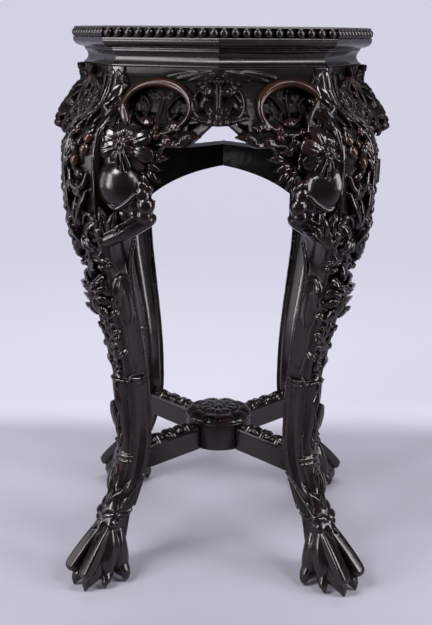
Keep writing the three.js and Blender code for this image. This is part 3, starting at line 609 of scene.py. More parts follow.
def placed_copy(model, name, turn, hand=1):
    """A copy of a piece modelled in its own frame, turned to its place on the stand."""
    mesh = model.data.copy()
    mesh.name = name
    if hand < 0:
        mesh.transform(Matrix.Diagonal((-1, 1, 1, 1)))
        mesh.flip_normals()
    mesh.transform(Matrix.Rotation(math.radians(turn), 4, "Z"))
    piece = bpy.data.objects.new(name, mesh)
    bpy.context.scene.collection.objects.link(piece)
    return piece


def finish_carving(piece, axis, budget=None, depth=0.8):
    """Marks the ridges of a carving, thins its mesh if a budget is given, and sets its grain and shading."""
    mark_ridges(piece, depth)
    if budget:
        lighten(piece, budget)
    mark_grain(piece, axis)
    smooth_shade(piece, 60)


def finish_moulding(piece, axis="x", angle=32):
    """Sets the grain and shading of a smooth moulding, which has neither ridges nor hollows."""
    store(piece, "ridge", "FLOAT", np.full(len(piece.data.vertices), 0.5))
    mark_grain(piece, axis)
    smooth_shade(piece, angle)


def dress(piece, nodes, material):
    piece.data.materials.clear()
    piece.data.materials.append(material)
    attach(piece, "root")
    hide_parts(*nodes)


def discard(piece):
    mesh = piece.data
    bpy.data.objects.remove(piece)
    bpy.data.meshes.remove(mesh)


def place_all(model, places, name, node, kind):
    """Copies a model to all its places (azimuth, hand), dresses the copies and takes the model away."""
    for place, (azimuth, hand) in places.items():
        piece = placed_copy(model, f"{name}_{place}", azimuth - 90, hand)
        dress(piece, [f"{node}_{place}"], finish_of(kind))
    discard(model)


# Materials


class Value:
    """A socket of a material's node tree. Arithmetic on it adds Math nodes."""

    def __init__(self, shader, socket):
        self.shader = shader
        self.socket = socket

    def maths(self, operation, first, second):
        return self.shader.node("ShaderNodeMath", {"operation": operation}, {0: first, 1: second})["Value"]

    def __add__(self, other):
        return self.maths("ADD", self, other)

    __radd__ = __add__

    def __sub__(self, other):
        return self.maths("SUBTRACT", self, other)

    def __rsub__(self, other):
        return self.maths("SUBTRACT", other, self)

    def __mul__(self, other):
        return self.maths("MULTIPLY", self, other)

    __rmul__ = __mul__

    def clamped(self):
        return self.shader.node("ShaderNodeClamp", {}, {"Value": self})["Result"]

    def between(self, low, high):
        settings = {"interpolation_type": "SMOOTHSTEP"}
        inputs = {"Value": self, "From Min": low, "From Max": high}
        return self.shader.node("ShaderNodeMapRange", settings, inputs)["Result"]


class Shader:
    """A material's node tree, with one method that makes any node and links it."""

    def __init__(self, name):
        self.material = bpy.data.materials.new(name)
        self.material.use_nodes = True
        self.tree = self.material.node_tree
        self.tree.nodes.clear()
        self.output = self.tree.nodes.new("ShaderNodeOutputMaterial")

    def node(self, kind, settings, inputs):
        """Makes a node from its type, its settings and its inputs, which are numbers, colours or other sockets."""
        made = self.tree.nodes.new(kind)
        for key, setting in settings.items():
            setattr(made, key, setting)
        for key, value in inputs.items():
            socket = made.inputs[key]
            if isinstance(value, Value):
                self.tree.links.new(value.socket, socket)
            else:
                socket.default_value = (*value, 1) if socket.type == "RGBA" else value
        return {o.name: Value(self, o) for o in made.outputs if o.enabled}

    def mix_colours(self, share, first, second):
        """Inputs 0, 6 and 7 of a Mix node are its share and its two colours."""
        return self.node("ShaderNodeMix", {"data_type": "RGBA"}, {0: share, 6: first, 7: second})["Result"]

    def attribute(self, name, output):
        return self.node("ShaderNodeAttribute", {"attribute_name": name}, {})[output]

    def noise(self, vector, scale, detail=3.0, stretch=(1, 1, 1), distortion=0.0):
        mapped = self.node("ShaderNodeMapping", {}, {"Vector": vector, "Scale": stretch})["Vector"]
        inputs = {"Vector": mapped, "Scale": scale, "Detail": detail, "Distortion": distortion}
        return self.node("ShaderNodeTexNoise", {}, inputs)["Fac"]

    def bump(self, strength, distance, height):
        inputs = {"Strength": strength, "Distance": distance, "Height": height}
        return self.node("ShaderNodeBump", {}, inputs)["Normal"]

    def principled(self, inputs):
        return self.node("ShaderNodeBsdfPrincipled", {}, inputs)["BSDF"]

    def mix_shaders(self, share, first, second):
        return self.node("ShaderNodeMixShader", {}, {0: share, 1: first, 2: second})["Shader"]

    def finish(self, shader):
        self.tree.links.new(shader.socket, self.output.inputs["Surface"])
        return self.material


def wood(name, dark, red, roughness, redness, carved):
    """Waxed hardwood: streaked figure along the grain, redder worn ridges, and a dull finish in the hollows and dull
    zones, whose colour is darkened partly for dust and partly as painted shade.
    """
    s = Shader(name)
    grain = s.attribute("grain", "Vector")
    ridge = s.attribute("ridge", "Fac")
    streaks = s.noise(grain, 55.0, 4.0, (1, 1, 0.07), 0.4)
    clouds = s.noise(grain, 14.0, 2.0, (1, 1, 0.5), 0.2)
    pores = s.noise(grain, 900.0, 2.0, (1, 1, 0.05))
    handling = s.noise(grain, 38.0, 3.0)
    warm = s.attribute("warm", "Fac")
    deep = s.attribute("deep", "Fac")
    worn = ridge.between(0.56, 0.95)
    hollow = 1 - ridge.between(0.02, 0.42)
    figure = (streaks.between(0.5, 0.72) * 0.35 + clouds.between(0.5, 0.75) * 0.5) * redness
    handled = worn * handling.between(0.45, 0.62) * (0.2 * redness)
    # The warm share reddens the berries and the ring bar; its stronger share on the ring's top is a painted highlight.
    redden = (figure * 0.45 + handled + warm * clouds.between(0.25, 0.6) * 0.48).clamped()
    # Hollows and the stored deep share darken the colour towards 0.45 of the dark wood. This is partly dust and partly
    # painted shade in recesses, between the beads and under the top's overhang. Pores add real dark specks.
    dust_and_painted_shade = (hollow * 0.75 + deep * 0.5 + pores.between(0.62, 0.75) * 0.35).clamped()
    tone = s.mix_colours(dust_and_painted_shade, s.mix_colours(redden, dark, red), tuple(0.45 * c for c in dark))
    rough = (roughness + hollow * 0.1 - worn * 0.06 + handling.between(0.45, 0.8) * 0.1).clamped()
    height = streaks * 0.25 + pores * 0.12 + s.noise(grain, 150.0, 2.0) * (0.5 if carved else 0.12)
    base = {"Base Color": tone, "Normal": s.bump(0.35, 0.0006, height), "IOR": 1.5}
    polished = s.principled({**base, "Roughness": rough, "Specular Tint": (1.0, 0.95, 0.98)})
    dull = s.principled({**base, "Roughness": 0.55, "Specular IOR Level": 0.05})
    return s.finish(s.mix_shaders((hollow * 0.7 + deep * 0.92).clamped(), polished, dull))


def plain_wood(name, wood_tone):
    """Unpolished wood of the inner pieces."""
    s = Shader(name)
    place = s.node("ShaderNodeTexCoord", {}, {})["Object"]
    streaks = s.noise(place, 60.0, 4.0, (1, 1, 0.1), 0.5)
    pale, dark = (tuple(k * c for c in wood_tone) for k in (1.3, 0.6))
    tone = s.mix_colours(streaks.between(0.35, 0.7), dark, pale)
    return s.finish(s.principled({"Base Color": tone, "Roughness": 0.62, "Normal": s.bump(0.3, 0.0005, streaks)}))


# Roughness over that of the carving, redness, and whether the surface is carved
WAXED = {"moulded": (0.06, 0.35, False), "carved": (0.0, 0.8, True), "leg": (0.0, 0.5, True)}


def finish_of(kind):
    """The stand's finishes, each made once."""
    name = f"{kind}_finish"
    if name in bpy.data.materials:
        return bpy.data.materials[name]
    look = bpy.context.scene.stand_finish
    if kind in WAXED:
        rougher, redness, carved = WAXED[kind]
        return wood(name, tuple(look.wood), tuple(look.wood_red), look.gloss + rougher, redness, carved)
    return plain_wood(name, tuple(look.wood_plain))


# Carved aprons


def side_surface(points):
    """From the flat working space to the swelling face of a side. Behind the face the board's thickness follows."""
    x, out, z = points.T
    face = knee_radius(z) * COS
    inner = BOARD_INNER * COS
    y = np.where(out >= 0, face + out, inner + (face - inner) * (1 + out / PLATE))
    return np.column_stack([x, y, z])


def bent(start, control, end, pieces=10):
    """Points of a curve that is pulled towards a control point, without its start."""
    t = np.linspace(0, 1, pieces + 1)[1:, None]
    start, control, end = (np.array(p, float) for p in (start, control, end))
    return [tuple(p) for p in (1 - t) ** 2 * start + 2 * t * (1 - t) * control + t * t * end]


def apron_outline(arched, undercut, notch):
    """Outline of a board's front or back layer. The back layer of an open span is undercut."""
    mitre = KNEE * SIN
    far = mitre + 14
    band_foot = KNOB_LEVEL + 10
    line = [(JOINT, LEG_TOP), (JOINT, SPANDREL_FOOT)]
    if arched:
        line += bent(line[-1], (0, band_foot - 6), (far, band_foot), 14)
        line += [(far, BAND_TOP), (14, BAND_TOP - 6)]
        line += bent(line[-1], (2, BAND_TOP + 6), (6, CUSP - 12), 8)
    elif undercut:
        line += [(-34, SPANDREL_FOOT + 8), (-34, CUSP - 26)]
        line += bent(line[-1], (-30, CUSP - 10), (0, CUSP - 4), 6)
    else:
        line += [(-26, SPANDREL_FOOT + 12), (-22, KNOB_LEVEL)]
        line += [(-30, KNOB_LEVEL + 18), (-30, KNOB_LEVEL + 36)]
        line += bent(line[-1], (-20, CUSP - 29), (-5, CUSP - 24), 5)
        line += bent(line[-1], (4, CUSP - 14), (8, CUSP - 4), 5)
    start, end, rise, set_back = (12, 44, (3, 1), 22) if undercut else (16, 54, (0, 0), 10)
    line += [(start, CUSP + rise[0]), (end - notch, CUSP + rise[0])]
    return line + [(mitre - set_back - notch, PEAK + rise[1]), (far, PEAK + rise[1]), (far, LEG_TOP)]


def oval(x, z, half_x, half_z, points=36):
    turn = np.linspace(0, 2 * math.pi, points, endpoint=False)
    return [(x + half_x * math.cos(a), z + half_z * math.sin(a)) for a in turn]


def ring_quarter(side_x, side_z):
    """One of the four piercings between the plant's stem and leaves."""
    turn = np.linspace(0.22, 1.2, 9)
    arc = [(side_x * 41 * math.cos(a), RING_LEVEL + side_z * 25 * math.sin(a)) for a in turn]
    return [(side_x * 9, RING_LEVEL + side_z * 7)] + arc


def apron_holes(bar, front, slide, stretch):
    """The piercings: one wide oval in the front layer, four quarters round the plant behind it."""
    ring = [oval(slide, RING_LEVEL, stretch * RING_HALF[0] - 1.2 * bar, RING_HALF[1] - 1.2 * bar, 48)]
    quarters = [ring_quarter(x, z) for x in (-1, 1) for z in (-1, 1)]
    lobe = oval(LOBE_AT, LOBE_LEVEL, LOBE_HALF[0] - 4, LOBE_HALF[1] - 4, 28)
    return (ring if front else quarters) + [lobe, [(47, 686), (47, 696), (66, 699)]]


def moved(forms, x, stretch):
    """The same forms, stretched and shifted along the side."""
    return [(points * np.array([stretch, 1.0, 1.0]) + np.array([x, 0.0, 0.0]), faces) for points, faces in forms]


def ring_bars(bar):
    """The big ring, with berries where stems cross it."""
    turn = np.linspace(0, 2 * math.pi, 41)
    swell = [bar * (1 + 0.22 * math.sin(a)) for a in turn]
    ring = stem(hoop(0, RING_LEVEL, RING_HALF, 2.5, 1.5, len(turn)), swell, 12, 2)
    return [ring, *berries([(36, 739, 5), (44, 733, 4.5), (30, 745, 4), (-63, 728, 5.5), (-30, 690, 4)], 4)]


def ring_plant():
    """The plant that grows through the big ring, well below its rim."""
    return stems(
        ([(1, -10, 684), (0, -9, 700), (3, -8, 722), (0, -9, 747)], [3.8, 3.4, 3.0, 2.4]),
        ([(1, -9, 694), (16, -8, 699), (32, -9, 712), (44, -8, 722)], [2.8, 2.6, 2.2, 1.6]),
        ([(1, -9, 694), (-16, -8, 700), (-30, -9, 712), (-44, -8, 716)], [2.8, 2.6, 2.2, 1.6]),
        ([(40, -7, 736), (24, -6, 728), (12, -7, 712), (20, -8, 698), (36, -8, 694)], [2.4, 2.8, 2.6, 2.4, 2]),
        ([(-42, -7, 734), (-28, -7, 730), (-16, -7, 718), (-20, -8, 704)], [2.0, 2.6, 2.4, 2.0]),
    ) + leaves([
        (1, 712, 62, 36, 18, -46), (1, 712, 120, 36, 18, 46), (3, 728, 25, 32, 15, 30), (0, 726, 160, 32, 15, -34),
        (18, 699, 58, 28, 14, 30), (-18, 700, 118, 28, 14, -30), (4, 692, -8, 36, 15, 26), (-2, 692, 186, 34, 15, -26),
        (36, 716, 150, 22, 11, 20), (-38, 720, 40, 22, 11, -30), (10, 742, 0, 30, 11, -20), (-8, 743, 180, 30, 11, 20),
    ], lift=3.2, root=-13, tip=-10, arch=3, thick=6)


def lobe_plant(curled):
    """The small pierced lobe between the ring and the mitre, and the leaves or curled tendrils in it."""
    lobe = stem(hoop(LOBE_AT, LOBE_LEVEL, LOBE_HALF, 0.5, 0.0, 33), 2.6, 10, 2)
    if curled:
        return [lobe, leaf(74, 732, 215, 30, 13, lift=3, root=-5, tip=-4, arch=3, curl=40, thick=6), *stems(
            ([(48, 0, 712), (54, 0, 728), (66, 0, 737), (78, -1, 730)], [2.0, 2.2, 2.2, 1.6], 8),
            ([(50, -3, 706), (60, -3, 712), (72, -3, 710), (80, -3, 702)], [1.8, 2.0, 2.0, 1.6], 8),
        )]
    broad = leaf(56, 712, 62, 34, 15, lift=3, root=-5, tip=-3, arch=3, curl=24, thick=6, teeth=3)
    return [lobe, broad, *leaves([(52, 736, -20, 26, 10, -40), (76, 716, 118, 24, 8, -20)],
                                 lift=2.5, root=-6, tip=-4, arch=3)]


def mitre_line(z):
    """How far along its side the mitre lies at a level."""
    return float(knee_radius(z) * SIN)


def fascia_leaves():
    """Long thin leaves that sweep over the fascia towards the mitre."""
    rows = ((4, 748, 16, 66), (18, 751, 15, 60), (34, 750, 17, 48), (-6, 753, 12, 60), (46, 747, 22, 38))
    return [leaf(*row, 6.5, lift=1.8, arch=0.8, curl=-8, groove=0.7, veins=0, thick=3) for row in rows]


def mitre_plant():
    """Slender stem on the mitre, with buds on top and a pair of broad low leaves."""
    stalk = [(mitre_line(z), 2.0, z) for z in (748, 736, 722, 710, 699)]
    buds = ((-2, 750, 4.0), (-9, 751, 3.6), (-15, 749, 3.2), (-7, 757, 2.6))
    broad = {"lift": 3.5, "arch": 4, "twist": 1.5, "thick": 7}
    return [
        stem(stalk, [3.0, 2.8, 2.8, 3.2, 4.0], 10),
        *berries([(mitre_line(z) + dx, z, r) for dx, z, r in buds], 2),
        leaf(mitre_line(748) - 16, 748, 182, 18, 8, lift=3, root=1, tip=0, arch=3, curl=16),
        leaf(mitre_line(736) - 2, 733, 150, 34, 15, root=2, tip=-2, curl=56, **broad),
        leaf(mitre_line(710) - 2, 706, 128, 30, 13, root=3, tip=-1, curl=40, **broad),
        leaf(mitre_line(700) - 2, 700, 168, 22, 10, lift=3, root=3, tip=0, arch=3, curl=-20, thick=7),
        stem([(46, 0, 706), (60, 1, 703), (72, 2, 701), (88, 2, 698)], [2.4, 2.6, 2.8, 3.0]),
    ]


def mitre_cluster():
    """Mass of leaves and berries that stands out over the mitre of the side and back spans."""
    forms = [ball(mitre_line(at), z, radii, 2)
             for at, z, radii in ((706, 704, (12, 17, 16)), (692, 690, (11, 16, 11)), (724, 724, (8, 13, 10)))]
    for z, dx, angle, length, width, curl, out in (
        (712, -1, 152, 32, 18, -40, 12), (722, -2, 118, 26, 13, 40, 8), (698, -2, 190, 30, 14, -30, 13),
        (732, -2, 160, 24, 11, 30, 5), (686, -3, 215, 24, 12, 30, 12), (704, -3, 95, 26, 12, -30, 12),
        (692, -8, 140, 24, 12, 40, 13), (716, -6, 200, 26, 12, 30, 10),
    ):
        forms.append(leaf(mitre_line(z) + dx, z, angle, length, width, lift=4, root=out, tip=1, arch=6, curl=curl,
                          twist=1.6, thick=9))
    buds = ((-9, 688, 4.5, 12), (-16, 694, 4.0, 9), (-4, 680, 4.5, 11), (-5, 700, 4.2, 16), (-3, 714, 4, 14))
    return forms + berries([(mitre_line(z) + dx, z, r, out) for dx, z, r, out in buds])


def cusp_foliage():
    """Berries and leaves between the ring and the board's lower edge."""
    return berries([
        (3, 691, 4.6, 5), (5, 680, 5.6, 6), (-3, 684, 4.2, 4), (-28, 686, 5.0, 5), (-34, 679, 4.2, 4),
        (20, 676, 3.4, 3), (-14, 675, 4.0, 4), (34, 690, 3.8, 3),
    ], tall=1.12) + leaves([
        (8, 676, -8, 30, 13, 14), (36, 678, 12, 30, 12, -24), (12, 692, 10, 30, 12, -30), (-8, 672, 205, 26, 11, 20),
        (-4, 694, 158, 26, 11, 20), (26, 670, 4, 24, 8, 6), (36, 674, 34, 24, 9, 6), (-20, 664, -20, 26, 12, 30),
    ], lift=3, root=1, tip=0.5, arch=3) + stems(
        ([(-4, 1, 668), (14, 2, 669.5), (30, 2, 669.5), (44, 1, 672), (56, 1, 682)], [2.6, 3, 3, 2.6, 2.0]),
    )


# Berries of a board that are left reddish: (x, z, radius)
APRON_BERRIES = [
    (3, 691, 5), (5, 680, 6), (-28, 686, 5.4), (-34, 679, 4.6), (36, 739, 5), (44, 733, 4.5), (-14, 675, 4.5),
]


def joint_stems():
    """Stems that run down beside the joint of leg and apron."""
    return stems(
        ([(-63, 3, 729), (-52, 4, 716), (-42, 4, 700), (-38, 3, 684)], [4.2, 3.4, 3.2, 3.4]),
        ([(-66, 2, 740), (-58, 3, 722), (-55, 3, 706), (-58, 2, 690)], [3, 2.8, 2.6, 2.4]),
    ) + [
        leaf(-62, 742, 78, 20, 11, lift=3, root=1, arch=3, curl=30),
        leaf(-56, 700, 110, 30, 13, lift=3, root=1, arch=4, curl=-20),
        leaf(-50, 688, 60, 26, 11, lift=3, root=1, arch=3, curl=30),
    ]


def flower(x, z, reach, out, petals):
    """The crisp parts of a full open flower. Petals are (heading, share of the reach, rise of the tip)."""
    forms = []
    for k, (angle, share, tip) in enumerate(petals):
        low = 2.5 * (k % 2)
        start = (x + 3 * math.cos(math.radians(angle)), z + 3 * math.sin(math.radians(angle)))
        width = reach * (0.56 + 0.012 * max(tip, 0))
        forms.append(leaf(*start, angle, reach * share, width, lift=3.0, root=out - 1 - low, tip=out + tip - low,
                          arch=8 - 0.4 * max(tip + 8, 0), twist=0.4, thick=5, curl=8 * math.sin(1.7 * k),
                          shape=(0.6, 0.36), veins=0, groove=0.55, cup=0.1, steps=26, across=18))
    for k in range(5):
        forms.append(leaf(x, z, 40 + 72 * k, reach * 0.5, reach * 0.3, lift=3, root=out + 6, tip=out + 2, arch=5,
                          twist=1.0, curl=22 * math.cos(1.3 * k), shape=(0.7, 0.45), thick=5, veins=0, groove=0.7,
                          cup=0.4, steps=20, across=12))
    return forms


def flower_heart(x, z, reach, out):
    """The bed that the petals are carved on, the knot of buds and the hanging stamens."""
    forms = [ball(x, z - 2, (reach * 0.5, out + 1, reach * 0.5), 0, 0, 16, 10)]
    for k in range(4):
        angle = math.radians(90 * k + 15)
        forms.append(ball(x + 4.5 * math.cos(angle), z + 4.5 * math.sin(angle), (3.4, 4, 4.4), out + 12, angle))
    for dx, dz, lean in ((2, -34, 8), (-6, -30, 7), (10, -28, 6)):
        line = [(x + 0.3 * dx, out + 12, z - 3), (x + 0.8 * dx, out + 12, z + 0.55 * dz), (x + dx, out + lean, z + dz)]
        forms.append(stem(line, [1.8, 2.3, 3.6]))
    return forms


OPEN_PETALS = [(22 + 45 * k, 0.96 + 0.1 * math.sin(2.4 * k), -2 + 3 * math.sin(1.9 * k)) for k in range(8)]
HANGING_PETALS = [
    (196, 1.1, 4), (158, 1.15, 5), (112, 0.75, 0), (62, 0.7, 0), (18, 1.0, 1), (338, 1.15, 2), (302, 1.1, -8),
    (264, 0.95, -8), (230, 1.05, -8),
]


def spandrel_bracket(shift):
    """Smooth fruit under the flower, knotted knobs and the branch that closes the foot of the spandrel."""
    def line(*points):
        return [(shift + x, out, z) for x, out, z in points]
    smooth = ((-48, 613, (34, 25, 36), 7, 0.25, 36, 24), (-56, 646, (20, 20, 28), 0, 0, 20, 12),
              (-36, 586, (22, 17, 13), 5, -0.35, 24, 14), (-38, 574, (22, 18, 18), 2, -0.35, 24, 14))
    knobs = ((-13, 602, 12.5, 7), (-8, 588, 13, 8), (-11, 574, 12, 8), (-24, 590, 13, 10), (-13, 615, 8, 8),
             (-4, 611, 6.5, 6), (-22, 576, 11, 10), (-27, 604, 9, 12))
    return [
        *(ball(shift + x, *rest) for x, *rest in smooth),
        stem(line((-62, 20, 590), (-44, 26, 584), (-28, 24, 592), (-16, 20, 604)), [2.2, 3.2, 3.6, 3.0], 10),
        *berries([(shift + x, z, r, out) for x, z, r, out in knobs], tall=1.06, detail=(22, 14)),
        stem(line((-8, 4, 568), (-26, 10, 558), (-44, 14, 548)) + [(-66, 15, 537)], [11, 12.5, 12, 11], 18),
        stem(line((-12, 16, 576), (-28, 22, 567), (-44, 25, 557)) + [(-64, 26, 547)], [2.2, 2.6, 2.6, 2.0], 8),
        ball(-62, 556, (9, 20, 20), 0, 0, 16, 10),
    ]


def bracket_leaves():
    """The crisp leaves beside the branch and over the fruit."""
    beside = ((0, 96, 46, 14, 18), (-6, 112, 40, 12, 26), (6, 80, 40, 13, -10), (-9, 130, 32, 11, 30),
              (11, 60, 32, 11, -26), (15, 42, 26, 9, -20))
    over = ((-12, 642, -12, 24), (-8, 634, -40, 22), (-16, 630, -64, 22), (-2, 650, 10, 22))
    return leaves(
        [(-61 + dx, 541, angle, length, width, curl) for dx, angle, length, width, curl in beside],
        lift=3, root=19, tip=23, arch=5, twist=2.0, thick=6, groove=0.9, cup=0.4, steps=24, across=14,
    ) + [
        leaf(*row, 12, lift=2.6, root=2, tip=0, arch=4, curl=-16, thick=4, groove=0.8, twist=1.5, teeth=3)
        for row in over
    ]


def scattered_leaves(seed, region, count, long=16, wide=8, out=0.5, spread=70):
    """Small leaves and buds strewn over a region (x low, z low, x high, z high) of the surface."""
    pick = np.random.default_rng(seed)
    x0, z0, x1, z1 = region
    forms = []
    for k in range(count):
        x, z = pick.uniform(x0, x1), pick.uniform(z0, z1)
        angle = 90 + pick.uniform(-spread, spread)
        length, width = long * pick.uniform(0.7, 1.25), wide * pick.uniform(0.7, 1.2)
        forms.append(leaf(x, z, angle, length, width, lift=2.6, root=out, tip=out, arch=2.8,
                          curl=pick.uniform(-50, 50), steps=10, across=6, thick=5))
        if k % 3 == 0:
            forms.append(ball(x + pick.uniform(-4, 4), z + pick.uniform(-4, 4), pick.uniform(2.2, 3.6), out + 2,
                              0, 8, 6))
    return forms


def draws(pick, *ranges):
    """One random number from each range (low, high)."""
    return [pick.uniform(low, high) for low, high in ranges]


def apron_model(arched, shift, slide, petals, flower_at, notch=0.0, stretch=1.0, curled=False):
    """One board in its side's frame: pierced plate and carving, fused, bent to the swell and mitred.

    Shift moves the bracket along the board, slide and stretch place the ring, notch widens the opening at the mitre.
    """
    bar, seed = sizes().ring_bar / MM, sizes().scatter_seed
    bloom = (flower_at[0] + shift, flower_at[1], sizes().flower_reach / MM, 15 - 0.3 * shift)
    blank = Blank()
    blank.add([
        plate(apron_outline(arched, False, notch), apron_holes(bar, True, slide, stretch), -7.0, 0.0),
        plate(apron_outline(arched, not arched, notch), apron_holes(bar, False, 0, 1.0), -PLATE, -6.5),
        *moved(ring_bars(bar) + ring_plant(), slide, stretch),
        *lobe_plant(curled), *fascia_leaves(), *mitre_plant(), *cusp_foliage(), *joint_stems(),
        *(mitre_cluster() if arched else []), *spandrel_bracket(shift), *flower_heart(*bloom),
        *scattered_leaves(seed, (-56, 690, -50, 742), 6), *scattered_leaves(seed + 1, (-30, 618, -14, 664), 8),
    ])
    model = fuse(blank.build("apron"), sizes().carving_grain)
    flat = vertices_mm(model)
    mark_warm(model, flat, APRON_BERRIES, (slide, stretch))
    set_vertices_mm(model, side_surface(flat))
    crisp = Blank()
    crisp.add(flower(*bloom, petals) + bracket_leaves() + (dense_leaves(seed + 12) if arched else []), side_surface)
    joined(model, crisp)
    cut_with_planes(model, [MITRES[0], TOP_CUT])
    finish_carving(model, "z", sizes().apron_triangles)
    mark_dull_and_painted_shade(model, lambda x, y, z: apron_dull_and_painted_shade(x, y, z, bloom))
    return model


def apron_dull_and_painted_shade(x, y, z, bloom):
    """The ground and what sinks below it are dull and darkened, partly for dust and partly as painted shade in the
    recesses; the carving round the rings is hardly polished and darkened as painted shade under the top's overhang;
    the bracket with its flower is polished.
    """
    out = y - knee_radius(z) * COS
    clear = np.clip((np.hypot(x - bloom[0], z - bloom[1]) - bloom[2]) / 4, 0, 1)
    # The zone round the rings is dulled and darkened as painted shade under the top's overhang, more towards the mitre
    # and just under the fascia.
    shaded = 0.55 + 0.25 * np.clip((x - 40) / 12, 0, 1) + 0.25 * np.clip((z - 744) / 6, 0, 1)
    upper = np.clip(shaded, 0, 0.88) * np.clip((z - 668) / 8, 0, 1) * clear
    return np.maximum(np.clip((4.5 - out) / 5, 0, 1), upper)


def dense_leaves(seed):
    """The thicket of small leaves that covers ring and fascia on the side and back boards."""
    pick = np.random.default_rng(seed)
    ranges = ((-52, 78), (676, 756), (0, 360), (18, 30), (8, 13), (2, 7), (1, 6), (-50, 50), (-2, 2))
    forms = []
    for _ in range(DENSE_LEAVES):
        *row, curl, twist = draws(pick, *ranges)
        forms.append(crisp_leaf(*row, curl=curl, twist=twist))
    return forms


class STAND_OT_aprons(bpy.types.Operator):
    """Carves the eight apron boards"""

    bl_idname = "stand.aprons"
    bl_label = "Aprons"

    def execute(self, context):
        models = {
            "open_left": apron_model(False, 0, -4, HANGING_PETALS, (-35, 669), 6),
            "open_right": apron_model(False, -13, -20, OPEN_PETALS, (-41, 658), 13, 0.93, True),
            "arched": apron_model(True, -6, 0, HANGING_PETALS, (-38, 655)),
        }
        for side, (azimuth, hand) in SIDE_PLACES.items():
            kind = {"front_left": "open_left", "front_right": "open_right"}.get(side, "arched")
            piece = placed_copy(models[kind], f"carved_apron_{side}", azimuth - 90, hand)
            dress(piece, [f"apron_{side}"], finish_of("carved"))
        for model in models.values():
            discard(model)
        return {"FINISHED"}


# Carved legs

KNEE_DROP = FASCIA_FOOT - SPANDREL_FOOT
KNEE_STEPS = [
    (0, 0.02), (0.09, 0.25), (0.165, 0.48), (0.24, 0.7), (0.317, 0.87), (0.42, 0.97), (0.57, 1), (0.73, 1),
    (0.87, 0.96),
]
KNEE_FRONT = [
    (LEG_TOP, FASCIA),
    *[(FASCIA_FOOT - KNEE_DROP * drop, FASCIA + (263 - FASCIA) * step) for drop, step in KNEE_STEPS],
    (SPANDREL_FOOT, 257),
]
LEG_OUTER = [
    (SPANDREL_FOOT, 257), (516, 249), (491, 241), (440, 229.5), (375, 215), (310, 201), (246, 195), (203, 195),
    (163, 204), (133, 215), (98, 234), (70, 258), (40, 268), (12, 264),
]
LEG_INNER = [
    (LEG_TOP, 182), (580, 182), (500, 197), (460, 193), (404, 181), (345, 168.5), (286, 160), (246, SHANK_INNER),
    (203, SHANK_INNER), (163, 167), (133, 178.5), (98, 197), (60, 210), (12, 226),
]
LEG_HALF = [
    (SPANDREL_FOOT, 33), (500, 27), (440, 24), (375, 20.5), (300, 18.1), (246, SHANK_HALF), (98, SHANK_HALF),
    (74, 21), (50, 22), (32, 19), (12, 15),
]


def corner_cut(ring, share):
    """The closed outline with its corners cut off twice."""
    for _ in range(2):
        after = np.roll(ring, -1, axis=0)
        pair = [ring * (1 - share) + after * share, ring * share + after * (1 - share)]
        ring = np.stack(pair, axis=1).reshape(-1, 2)
    return ring


def leg_front(level):
    """How far out the leg's front stands at a level."""
    level = np.asarray(level, float)
    return np.where(level >= SPANDREL_FOOT, along(KNEE_FRONT, level), along(LEG_OUTER, level))


def leg_half(level):
    """Half width of the leg, which follows the joint with the boards at the knee."""
    level = np.asarray(level, float)
    knee = (knee_radius(level) * SIN + JOINT - GAP) * COS
    return np.where(level >= SPANDREL_FOOT, knee, along(LEG_HALF, level))


def breadth(level):
    """0 where the corner of the fascia is sharp, 1 where the leg has its broad front."""
    return np.clip((FASCIA_FOOT - np.asarray(level, float)) / 53, 0, 1)


def narrowing(level):
    """0 at the knee, 1 on the shin, where the carved front is narrower than the leg behind it."""
    return np.clip((460 - np.asarray(level, float)) / 70, 0, 1)


def front_half(level):
    """Half width of the leg's broad front."""
    return leg_half(level) * (0.5 + 0.42 * breadth(level) - 0.14 * narrowing(level))


def leg_section(level):
    """Outline of the leg at one level: a broad front, and a body that meets the boards at the knee."""
    corner = float(knee_radius(level)) if level >= SPANDREL_FOOT else KNEE - 2
    front, inner, half = float(leg_front(level)), float(along(LEG_INNER, level)), float(leg_half(level))
    shoulder = corner - half * TAN
    blend = float(np.clip((level - STEM_TOP) / (SPANDREL_FOOT - STEM_TOP), 0, 1))
    thickness = COS * shoulder + SIN * half - BOARD_INNER * COS
    end = np.array([half - thickness * SIN, shoulder - thickness * COS])
    back = np.array([half, inner + 6]) * (1 - blend) + end * blend
    inner_half = min(half, 20.0, back[0] - 0.5)
    turned = [(inner_half * math.cos(a), inner + 8 * (1 - math.sin(a))) for a in (0.25, 0.7, 1.15)]
    broad, wide = float(breadth(level)), float(front_half(level))
    edge = (corner - wide * TAN) * (1 - broad) + front * broad
    side = (front - 4 - 5 * float(narrowing(level))) * (1 - blend) + shoulder * blend
    right = [(wide, edge), (half, side), tuple(back), *turned]
    ring = [(0, front + (1 - blend))] + right + [(-x, y) for x, y in reversed(right)]
    return corner_cut(np.array(ring, float), 0.14)


def leg_body():
    """The plain leg: its sections from the top down."""
    levels = np.concatenate([np.linspace(LEG_TOP, SPANDREL_FOOT, 60), np.linspace(SPANDREL_FOOT, 14, 190)[1:]])
    sections = [leg_section(z) for z in levels]
    count = len(sections[0])
    rings = [np.column_stack([section, np.full(count, z)]) for section, z in zip(sections, levels)]
    return np.vstack(rings), tube_faces(len(rings), count)


def front_surface(points):
    """From flat working space to the leg's front. What lies beyond the front's edge wraps round on to the flank."""
    x, out, z = points.T
    wide, front, broad = front_half(z), leg_front(z), breadth(z)
    over = np.abs(x) - wide
    turn = np.clip((over + 3) / 6, 0, 1) * math.pi / 2
    side = np.sign(x)
    across = np.minimum(np.abs(x), wide)
    y = (knee_radius(z) - across * TAN) * (1 - broad) + front * broad - np.maximum(over, 0)
    return np.column_stack([side * (across + out * np.sin(turn)), y + out * np.cos(turn), z])


